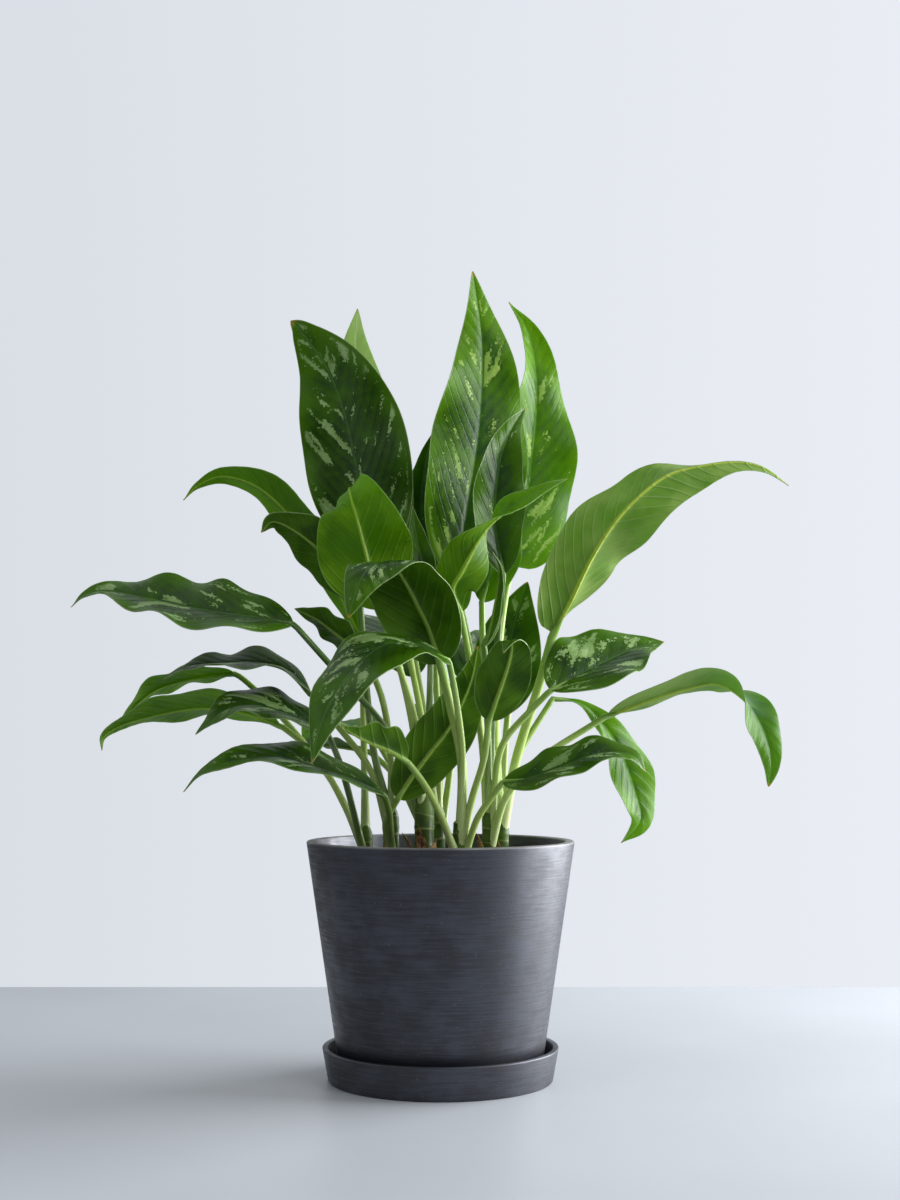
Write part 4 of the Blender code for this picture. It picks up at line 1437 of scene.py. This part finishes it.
@dataclass
class Stems:
    """A cane with its leaf stalks, grown together, in millimetres."""

    shoot: Shoot
    leaves: tuple[Leaf, ...]
    sides: int = 16
    rows: int = 40
    rows_under: int = 6
    foot: float = 80.0
    sheath_share: float = 0.35
    taper: float = 0.35
    # The groove's depth as a share of the radius, what the open sheath adds, and its width in radians
    groove: float = 0.08
    groove_open: float = 0.45
    groove_width: float = 0.55
    open_reach: float = 1.3
    under_blade: float = 16.0
    under_depth: float = 0.8
    under_taper: float = 0.6
    map_lead: float = 3.0
    cane_sides: int = 28
    cane_rows: int = 90
    cane_growth: float = 0.2
    slim: float = 0.96
    ring_swell: float = 0.05
    ring_half: float = 1.1
    ring_spacing: float = RING_SPACING
    ring_stray: float = 6.0
    stray_size: float = 20.0
    knob: float = 0.35
    knob_size: float = 9.0
    # A whole cane narrows from the shoulder's share of its height, a cut one slopes from its edge's
    shoulder: float = 0.9
    narrowing: float = 0.75
    cut_edge: float = 0.995
    cut_slope: float = 2.6
    cut_bearing: float = 0.8
    smooth_angle: float = 50.0

    def radius(self, share: float, leaf: Leaf) -> float:
        """Find the radius of a stalk, wide at its sheath.

        Args:
            share: How far along the stalk it is taken.
            leaf: The leaf that the stalk carries.

        Returns:
            The radius in millimetres.
        """
        swell = max(0.0, 1 - share / self.sheath_share)
        return leaf.stout + (leaf.sheath - leaf.stout) * max(swell, self.taper * (1 - share))

    def stalk(self, leaf: Leaf) -> bpy.types.Object:
        """Model one stalk from the cane to under the blade's base.

        Args:
            leaf: The leaf that it carries.

        Returns:
            The stalk, a closed tube with a groove that opens into the sheath.
        """
        form = BladeForm(leaf)
        base, _, normal = form.frames[0]
        root = Vector((self.shoot.across, self.shoot.back, leaf.root)) * MM
        corners = [root, *[placed(point) for point in reversed(leaf.stalk)], base]
        places = rounded_route(corners, self.rows)[:-1]
        under = [
            (spot, top) for spot, _, top in form.frames if (spot - base).length < self.under_blade * MM]
        for step in range(self.rows_under + 1):
            spot, top = under[round(step * (len(under) - 1) / self.rows_under)]
            places.append(spot - top * self.under_depth * MM)
        last = len(places) - 1
        tangents = tangents_along(places)
        normals = carried_normals(tangents, last, normal)
        run = distances(places)
        # The stalk's painted shade, which the growth map carries to the finish
        painted_shade = DEEPEST_STALK_SHADE * STALK_PAINTED_SHADE.get(leaf.name, STALK_PAINTED_SHADE_USUAL)
        maps = []
        growth = []

        def place(turn: float, along: float) -> Vector:
            """Find a place on the tube, whose groove is where the turn is nought.

            Args:
                turn: Share of the way round.
                along: Share of the rows from the cane on.

            Returns:
                The place in metres.
            """
            index = round(along * last)
            share = run[index] / run[-1]
            radius = self.radius(share, leaf)
            from_groove = min(turn, 1 - turn) * 2 * pi
            sheath = max(0.0, 1 - share / (self.open_reach * self.sheath_share))
            depth = self.groove + self.groove_open * sheath
            radius *= 1 - depth * exp(-((from_groove / self.groove_width) ** 2))
            radius *= 1 - self.under_taper * max(0.0, (index - self.rows) / self.rows_under)
            side = tangents[index].cross(normals[index])
            maps.append((turn * 2 * pi * radius, run[index] / MM + leaf.root * self.map_lead))
            growth.append((share, painted_shade))
            spoke = normals[index] * cos(2 * pi * turn) + side * sin(2 * pi * turn)
            return places[index] + spoke * radius * MM

        tube = formed_grid(f"stalk_{leaf.name}", self.sides, last, place)
        write_map(tube, UV_STALK, maps)
        write_map(tube, UV_GROWTH, growth)
        close_up(tube)
        return tube

    def cane(self) -> bpy.types.Object:
        """Model the cane with its ring scars.

        Returns:
            The cane, a closed rod with a rounded or cut top.
        """
        shoot = self.shoot
        tall = shoot.top - self.foot
        cut = shoot.name == "shoot_cut"
        maps = []
        growth = []

        def place(turn: float, share: float) -> Vector:
            """Find a place on the cane's skin.

            Args:
                turn: Share of the way round.
                share: Share of the height from the foot.

            Returns:
                The place in metres.
            """
            angle = 2 * pi * turn
            height = self.foot + tall * share
            uneven = self.ring_stray * noise.noise(
                Vector((shoot.across, shoot.back, height / self.stray_size)))
            from_ring = (height + shoot.across + uneven) % self.ring_spacing - self.ring_spacing / 2
            radius = shoot.radius * (self.slim + self.ring_swell * exp(-((from_ring / self.ring_half) ** 2)))
            if not cut:
                beyond = max(0.0, (share - self.shoulder) / (1 - self.shoulder))
                radius *= 1 - self.narrowing * beyond**2
            spot = Vector((cos(angle), sin(angle), height / self.knob_size))
            radius += self.knob * noise.noise(spot + Vector((shoot.across, 0, 0)))
            if cut and share > self.cut_edge:
                height += self.cut_slope * cos(angle - self.cut_bearing)
            maps.append((turn * 2 * pi * radius, height + shoot.across))
            growth.append((self.cane_growth, CANE_KIND))
            return Vector((
                shoot.across + radius * cos(angle), shoot.back + radius * sin(angle), height)) * MM

        rod = formed_grid(f"cane_{shoot.name}", self.cane_sides, self.cane_rows, place)
        write_map(rod, UV_STALK, maps)
        write_map(rod, UV_GROWTH, growth)
        close_up(rod)
        return rod

    def build(self, skin: bpy.types.Material) -> bpy.types.Object:
        """Grow the stalks onto the cane and dress them.

        Args:
            skin: The finish.

        Returns:
            The finished piece.
        """
        body = self.cane()
        body.name = body.data.name = self.shoot.name.replace("shoot", "stems")
        stalks = [self.stalk(leaf) for leaf in self.leaves]
        for stalk in stalks:
            union = body.modifiers.new(stalk.name, "BOOLEAN")
            union.operation = "UNION"
            union.solver = "MANIFOLD"
            union.object = stalk
        apply_modifiers(body)
        for stalk in stalks:
            bpy.data.objects.remove(stalk)
        body.data.materials.clear()
        body.data.materials.append(skin)
        smooth(body, self.smooth_angle)
        hand_over(body, self.shoot.name, "stem_green")
        return body


@dataclass
class Scales:
    """Dry scales, the remains of old sheaths, that curl from the feet of the canes, in millimetres."""

    low: float = 150.0
    thickness: float = 0.35
    columns: int = 8
    rows: int = 18
    clear: float = 0.3
    # Half the foot's width in radians round the cane, and how late the scale narrows and curls
    half_width: float = 0.9
    narrowing: float = 1.6
    bending: float = 2.5
    crumple: float = 1.2
    torn: float = 2.5
    smooth_angle: float = 60.0
    # Cane, bearing in degrees, height of the tip and how far it curls out
    scales: tuple = (
        ("shoot_centre", 200.0, 34.0, 9.0), ("shoot_centre", 255.0, 40.0, 7.0),
        ("shoot_centre", 310.0, 30.0, 6.0), ("shoot_left", 280.0, 26.0, 5.0),
        ("shoot_middle_left", 240.0, 31.0, 6.0), ("shoot_right_centre", 215.0, 34.0, 6.0),
        ("shoot_right", 250.0, 28.0, 7.0), ("shoot_cut", 190.0, 24.0, 5.0),
    )

    def scale(self, cane: Shoot, bearing: float, tall: float, curl: float) -> bpy.types.Object:
        """Model one scale.

        Args:
            cane: The cane that it clings to.
            bearing: Where it stands round the cane, in degrees.
            tall: Its height in millimetres.
            curl: How far its tip leans out, in millimetres.

        Returns:
            The scale, a thin closed sheet.
        """

        def place(side: float, share: float) -> Vector:
            """Find a place on the scale's inner face.

            Args:
                side: Share from margin to margin.
                share: Share from foot to tip.

            Returns:
                The place in metres.
            """
            angle = radians(bearing) + (2 * side - 1) * (1 - share**self.narrowing) * self.half_width
            rough = noise.noise(Vector((bearing, 4 * side, 5 * share)))
            radius = cane.radius + self.clear + curl * share**self.bending + self.crumple * rough * share
            height = self.low + tall * share + self.torn * rough * share
            return Vector((
                cane.across + radius * cos(angle), cane.back + radius * sin(angle), height)) * MM

        body = formed_grid("scale", self.columns, self.rows, place)
        solid = body.modifiers.new("thickness", "SOLIDIFY")
        solid.thickness = self.thickness * MM
        apply_modifiers(body)
        return body

    def build(self, finish: bpy.types.Material) -> bpy.types.Object:
        """Model and dress the scales.

        Args:
            finish: The papery finish.

        Returns:
            All the scales as one piece.
        """
        canes = {shoot.name: shoot for shoot in SHOOTS}
        pieces = [self.scale(canes[name], *shape) for name, *shape in self.scales]
        body = joined(pieces, "papery_scales")
        body.data.materials.append(finish)
        smooth(body, self.smooth_angle)
        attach(body, BODY)
        LOG.info("%s: %d faces", body.name, len(body.data.polygons))
        return body


def raised(name: str, profile: list[tuple[float, float]], sides: int) -> bpy.types.Object:
    """Raise a round piece ring by ring, as on a wheel.

    Args:
        name: The new object's name.
        profile: Radius and height of each ring in millimetres, round the section.
        sides: Corners of each ring.

    Returns:
        The new object, open where the first and the last ring are.
    """
    bpy.ops.object.select_all(action="DESELECT")
    radius, height = profile[0]
    bpy.ops.mesh.primitive_circle_add(vertices=sides, radius=radius * MM, location=(0, 0, height * MM))
    body = bpy.context.object
    body.name = body.data.name = name
    bpy.ops.object.transform_apply(location=True)
    bpy.ops.object.mode_set(mode="EDIT")
    bpy.ops.mesh.select_all(action="SELECT")
    for next_radius, next_height in profile[1:]:
        bpy.ops.mesh.extrude_region_move(
            TRANSFORM_OT_translate={"value": (0, 0, (next_height - height) * MM)})
        share = next_radius / radius
        bpy.ops.transform.resize(value=(share, share, 1), center_override=(0, 0, next_height * MM))
        radius, height = next_radius, next_height
    bpy.ops.object.mode_set(mode="OBJECT")
    return body


@dataclass
class Pot:
    """Tapered pot with a thick rounded lip and a drain hole, and its flared saucer, in millimetres."""

    sides: int = 160
    rim_radius: float = 100.0
    foot_radius: float = 75.0
    top: float = 178.0
    base: float = 3.5
    wall: float = 7.0
    floor: float = 6.0
    drain_radius: float = 9.0
    edge: float = 1.6
    saucer_height: float = 25.0
    saucer_foot: float = 83.8
    saucer_rim: float = 88.2
    saucer_wall: float = 4.5
    saucer_floor: float = 3.2
    saucer_middle: float = 4.0
    saucer_edge: float = 1.1
    rounding_steps: int = 4
    sharp_angle: float = 30.0
    smooth_angle: float = 35.0

    def rounded(self, body: bpy.types.Object, width: float) -> None:
        """Round the sharp rings of a piece.

        Args:
            body: The piece.
            width: Width of the rounding in millimetres.
        """
        bevel = body.modifiers.new("rounded", "BEVEL")
        bevel.width = width * MM
        bevel.segments = self.rounding_steps
        bevel.limit_method = "ANGLE"
        bevel.angle_limit = radians(self.sharp_angle)
        apply_modifiers(body)
        smooth(body, self.smooth_angle)

    def build_pot(self, finish: bpy.types.Material) -> bpy.types.Object:
        """Model and dress the pot.

        Args:
            finish: The plastic.

        Returns:
            The finished piece.
        """
        profile = [
            (self.drain_radius, self.base + self.floor),
            (self.foot_radius - self.wall, self.base + self.floor),
            (self.rim_radius - self.wall, self.top),
            (self.rim_radius, self.top),
            (self.foot_radius, self.base),
            (self.drain_radius, self.base),
            (self.drain_radius, self.base + self.floor),
        ]
        body = raised("pot_body", profile, self.sides)
        close_up(body)
        self.rounded(body, self.edge)
        body.data.materials.append(finish)
        hand_over(body, "pot", "pot_plastic")
        return body

    def build_saucer(self, finish: bpy.types.Material) -> bpy.types.Object:
        """Model and dress the saucer.

        Args:
            finish: The plastic.

        Returns:
            The finished piece.
        """
        profile = [
            (self.saucer_middle, self.saucer_floor),
            (self.saucer_foot - self.saucer_wall, self.saucer_floor),
            (self.saucer_rim - self.saucer_wall, self.saucer_height),
            (self.saucer_rim, self.saucer_height),
            (self.saucer_foot, 0.0),
            (self.saucer_middle, 0.0),
        ]
        body = raised("saucer_body", profile, self.sides)
        close_up(body)
        self.rounded(body, self.saucer_edge)
        body.data.materials.append(finish)
        hand_over(body, "saucer", "pot_plastic")
        return body


@dataclass
class Soil:
    """Potting mix with an uneven top and loose bark, crumbs and perlite on it, in millimetres."""

    top: float = 153.0
    settled: float = 0.8
    crown: float = 3.0
    bottom: float = 9.8
    rim: float = 89.0
    foot: float = 67.4
    relief: float = 0.9
    clod: float = 9.0
    sides: int = 120
    rings: int = 60
    # Shares of the skin's rows where the top and the side end
    top_share: float = 0.75
    side_share: float = 0.9
    smooth_angle: float = 50.0
    lumps: int = 420
    clear: float = 4.0
    lift: float = 0.3
    dents: float = 0.35
    tilt: float = 0.4
    scale_range: tuple = (0.6, 1.25)
    seed: int = 11
    # Size, stretch and share of each kind of lump: earth, bark and perlite
    kinds: tuple = ((1.9, (1.0, 0.8, 0.6), 6), (3.6, (1.4, 0.6, 0.28), 5), (1.5, (1.0, 0.9, 0.8), 2))

    def surface(self, across: float, back: float) -> float:
        """Find the height of the mix's top.

        Args:
            across: Place to the right of the axis.
            back: Place behind the axis.

        Returns:
            The height in millimetres.
        """
        reach = (across**2 + back**2) ** 0.5 / self.rim
        spot = Vector((across, back, 0)) / self.clod
        rough = noise.noise(spot) + 0.5 * noise.noise(spot * 2.7)
        return self.top - self.settled + self.crown * (1 - reach**2) + self.relief * rough * (1 - reach**6)

    def build_bed(self, finish: bpy.types.Material) -> bpy.types.Object:
        """Model and dress the body of the mix.

        Args:
            finish: The earth.

        Returns:
            The finished piece.
        """
        edge_height = self.top - self.settled

        def place(turn: float, share: float) -> Vector:
            """Find a place on the skin.

            Args:
                turn: Share of the way round.
                share: Share of the way from the middle of the top to the middle of the bottom.

            Returns:
                The place in metres.
            """
            angle = 2 * pi * turn
            if share <= self.top_share:
                radius = self.rim * share / self.top_share
                height = self.surface(radius * cos(angle), radius * sin(angle))
            elif share <= self.side_share:
                down = (share - self.top_share) / (self.side_share - self.top_share)
                radius = self.rim + (self.foot - self.rim) * down
                height = edge_height + (self.bottom - edge_height) * down
            else:
                radius = self.foot * (1 - share) / (1 - self.side_share)
                height = self.bottom
            return Vector((radius * cos(angle), radius * sin(angle), height)) * MM

        body = formed_grid("potting_mix", self.sides, self.rings, place)
        close_up(body)
        smooth(body, self.smooth_angle)
        body.data.materials.append(finish)
        hand_over(body, "soil", "soil_mix")
        return body

    def build_lumps(self, finishes: list[bpy.types.Material]) -> bpy.types.Object:
        """Strew lumps over the top.

        Args:
            finishes: Earth, bark and perlite.

        Returns:
            The lumps as one piece.
        """
        draw = random.Random(self.seed)
        models = []
        for number, (size, stretch, _) in enumerate(self.kinds):
            bpy.ops.object.select_all(action="DESELECT")
            bpy.ops.mesh.primitive_ico_sphere_add(subdivisions=2, radius=size * MM)
            model = bpy.context.object
            bpy.ops.object.mode_set(mode="EDIT")
            bpy.ops.mesh.select_all(action="SELECT")
            bpy.ops.transform.vertex_random(offset=size * self.dents * MM, seed=number)
            bpy.ops.transform.resize(value=stretch, center_override=(0, 0, 0))
            bpy.ops.object.mode_set(mode="OBJECT")
            model.data.materials.append(finishes[number])
            models.append(model)
        weights = [weight for _, _, weight in self.kinds]
        lumps = []
        for _ in range(self.lumps):
            model = draw.choices(models, weights=weights)[0]
            radius = (self.rim - self.clear) * draw.random() ** 0.5
            angle = draw.uniform(0, 2 * pi)
            across, back = radius * cos(angle), radius * sin(angle)
            lump = bpy.data.objects.new("lump", model.data.copy())
            bpy.context.scene.collection.objects.link(lump)
            lump.location = Vector((across, back, self.surface(across, back) + self.lift)) * MM
            tilts = [draw.uniform(-self.tilt, self.tilt) for _ in range(2)]
            lump.rotation_euler = (*tilts, draw.uniform(0, 2 * pi))
            lump.scale = [draw.uniform(*self.scale_range)] * 3
            lumps.append(lump)
        for model in models:
            bpy.data.objects.remove(model)
        body = joined(lumps, "soil_lumps")
        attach(body, BODY)
        LOG.info("%s: %d faces", body.name, len(body.data.polygons))
        return body


@dataclass(frozen=True)
class Window:
    """A soft rectangular light that faces the plant: metres and watts."""

    name: str
    place: tuple
    width: float
    height: float
    power: float
    colour: str


@dataclass
class Studio:
    """Pale floor, soft light and the camera at the photograph's place, in metres."""

    camera_distance: float = EYE_DISTANCE * MM
    camera_height: float = EYE_HEIGHT * MM
    lens: float = 49.8
    sensor: float = 36.0
    shift_across: float = 0.0079
    shift_up: float = 0.121
    floor_back: float = 0.469
    floor_front: float = -4.0
    floor_side: float = 4.0
    room_tint: str = "#eef2f8"
    wall_left: str = "#d9dee5"
    wall_right: str = "#ebeef5"
    aim: tuple = (0.0, 0.0, 0.3)
    windows: tuple[Window, ...] = (
        Window("window_right", (1.45, 0.37, 0.60), 1.7, 1.3, 78.0, "#fbfcff"),
        Window("window_front", (1.2, -1.3, 1.7), 1.0, 1.0, 11.0, "#fffdf8"),
        Window("fill_left", (-1.6, -1.0, 1.2), 1.6, 1.2, 5.0, "#f4f8ff"),
    )

    def build_floor(self, finish: bpy.types.Material) -> None:
        """Lay the floor, whose far edge is the line behind the pot.

        Args:
            finish: The paint.
        """
        bpy.ops.object.select_all(action="DESELECT")
        bpy.ops.mesh.primitive_plane_add(size=1)
        floor = bpy.context.object
        floor.name = "floor"
        middle = (self.floor_back + self.floor_front) / 2
        for vert in floor.data.vertices:
            vert.co.x *= 2 * self.floor_side
            vert.co.y = middle + vert.co.y * (self.floor_back - self.floor_front)
        floor.data.materials.append(finish)

    def build_room(self) -> None:
        """Light the room: a wall behind, bright but at the left, a ceiling, and little from the front."""
        world = bpy.data.worlds.new("pale_room")
        bpy.context.scene.world = world
        world.use_nodes = True
        world.node_tree.nodes.remove(world.node_tree.nodes["Background"])
        add = partial(add_node, world.node_tree)
        across = add(Kind.SPLIT, add(Kind.PLACE, out="Object"))
        back, up = across.node.outputs[1:3]
        wall = add(Kind.RANGE, back, -0.4, 0.9, 0.14, 0.54, **SOFT)
        wall = add(Kind.MATH, wall, add(Kind.RANGE, across, -0.9, 0.1, 0.45, 1.0, **SOFT), **TIMES)
        ceiling = add(Kind.RANGE, up, 0.0, 0.9, 0.0, 0.50, **SOFT)
        room = add(Kind.BACKDROP, srgb(self.room_tint), add(Kind.MATH, wall, ceiling, **PLUS))

        # What the camera sees of the wall is darker at the left than at the right: painted shade on a plain
        # wall
        seen = add(Kind.MIX, {
            SHARE: add(Kind.RANGE, across, -0.28, 0.30), FIRST: srgb(self.wall_left),
            SECOND: srgb(self.wall_right)}, **COLOURS)
        paint = add(Kind.BACKDROP, seen, 1.0)
        both = add(Kind.BLEND, add(Kind.RAY, out="Is Camera Ray"), room, paint)
        world.node_tree.links.new(both, world.node_tree.nodes["World Output"].inputs["Surface"])

    def build_windows(self) -> None:
        """Hang the soft lights, strongest at the right and behind."""
        for window in self.windows:
            place = Vector(window.place)
            bpy.ops.object.light_add(type="AREA", location=place)
            lamp = bpy.context.object
            lamp.name = window.name
            lamp.data.shape = "RECTANGLE"
            lamp.data.size = window.width
            lamp.data.size_y = window.height
            lamp.data.energy = window.power
            lamp.data.color = srgb(window.colour)[:3]
            lamp.rotation_euler = (Vector(self.aim) - place).to_track_quat("-Z", "Y").to_euler()

    def build_camera(self) -> None:
        """Set the camera level, with the framing by shift alone."""
        bpy.ops.object.camera_add(
            location=(0, -self.camera_distance, self.camera_height), rotation=(radians(90), 0, 0))
        camera = bpy.context.object
        camera.name = "camera"
        camera.data.lens = self.lens
        camera.data.sensor_width = self.sensor
        camera.data.shift_x = self.shift_across
        camera.data.shift_y = self.shift_up
        bpy.context.scene.camera = camera
        bpy.context.scene.view_settings.view_transform = "Standard"


LEAF_SLOTS = {"dark": "leaf_dark", "bright": "leaf_bright", "pale": "leaf_pale"}

# The looks of top and underside, for a blade where they aren't those of its tone
LEAF_LOOKS = {
    # The back left blade's pale looks stand in for the light that shines through it from behind: painted
    # light
    "leaf_back_left_pale": ("painted_backlight", "painted_backlight"),
    "leaf_centre_tall": ("ripening", "bright"),
    # The far right blade takes the pale looks, whose paler colour stands in for the sheen on it: painted
    # reflection
    "leaf_far_right": ("pale", "pale"),
    # The arching left blade takes a darker, duller top than its tone's: painted shade
    "leaf_left_arching": ("shaded", "dark"),
}

LEAF_TOPS = {
    "dark": LeafTop(
        "waxed_leaf_dark", deep="#1d3a04", green="#447002", cool="#2a4228", mark="#7d9c5a",
        mark_light="#98b678", through="#558c02", through_mark="#8fb82a", glow=0.20),
    "bright": LeafTop(
        "waxed_leaf_bright", deep="#386402", green="#629600", cool="#304c1c", mark="#86aa4e",
        mark_light="#a2c25e", through="#9acc00", through_mark="#cdea3a", glow=0.46),
    "pale": LeafTop(
        "waxed_leaf_pale", deep="#335c14", green="#54841c", cool="#4a6a4a", mark="#86a86a",
        mark_light="#9dbd7c", through="#7cb826", through_mark="#a8cc5a", glow=0.35),
    # Pale colours that stand in for light shining through the blade from behind: painted light
    "painted_backlight": LeafTop(
        "waxed_leaf_young", deep="#7c9e60", green="#92b06e", cool="#8aa682", mark="#a6c08c",
        mark_light="#b4cc9c", through="#c6dca4", through_mark="#d2e6b4", glow=0.5),
    "ripening": LeafTop(
        "waxed_leaf_ripening", deep="#23440a", green="#5a8c02", cool="#26422c", mark="#86aa4e",
        mark_light="#a2c25e", through="#78b000", through_mark="#bcdc34", glow=0.36),
    # A darker copy of the dark top, with less shine: painted shade
    "shaded": LeafTop(
        "waxed_leaf_shaded", deep="#1c3604", green="#3a6204", cool="#22381c", mark="#6f8e4c",
        mark_light="#8aa868", through="#4a7c02", through_mark="#7ca022", glow=0.20, shine=0.12),
}

LEAF_UNDERS = {
    "dark": LeafUnder(
        "leaf_underside_dark", base="#4e780a", shade="#305402", rib="#749a38", midrib="#8fae48",
        through="#649002", glow=0.25),
    "bright": LeafUnder(
        "leaf_underside_bright", base="#628e0c", shade="#427002", rib="#8ab03c", midrib="#a2c446",
        through="#94be00", glow=0.36),
    "pale": LeafUnder(
        "leaf_underside_pale", base="#90b054", shade="#6c9434", rib="#b0c884", midrib="#b8cc50",
        through="#a4ca48", glow=0.36, rib_strength=0.32),
    # Pale colours that stand in for light shining through the blade from behind: painted light
    "painted_backlight": LeafUnder(
        "leaf_underside_young", base="#b0cc86", shade="#98b86a", rib="#c0d69c", midrib="#c6dc94",
        through="#c8e296", glow=0.5),
}


def main() -> None:
    """Dress the whole plant in order."""
    logging.basicConfig(level=logging.INFO, format="%(name)s: %(message)s")
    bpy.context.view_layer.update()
    studio = Studio()
    studio.build_camera()
    studio.build_room()
    studio.build_windows()
    studio.build_floor(PaintedFloor().make())
    plastic = RubbedPlastic().make()
    pot = Pot()
    pot.build_saucer(plastic)
    pot.build_pot(plastic)
    earth = Crumbly("potting_earth", "#1c1511", "#3a2c22", 2.0).make()
    bark = Crumbly("bark_chip", "#3a2417", "#6d4a30", 2.5).make()
    perlite = Crumbly("perlite", "#bdb8ac", "#e4e0d6", 1.0).make()
    soil = Soil()
    soil.build_bed(earth)
    soil.build_lumps([earth, bark, perlite])
    Scales().build(PaperyScale().make())
    skin = StalkSkin().make()
    for shoot in SHOOTS:
        Stems(shoot, tuple(leaf for leaf in LEAVES if leaf.shoot == shoot.name)).build(skin)
    tops = {look: finish.make() for look, finish in LEAF_TOPS.items()}
    unders = {look: finish.make() for look, finish in LEAF_UNDERS.items()}
    for number, leaf in enumerate(LEAVES):
        top, under = LEAF_LOOKS.get(leaf.name, (leaf.tone, leaf.tone))
        Blade(leaf, number, LEAF_SLOTS[leaf.tone]).build([tops[top], unders[under]])


if __name__ == "__main__":
    main()
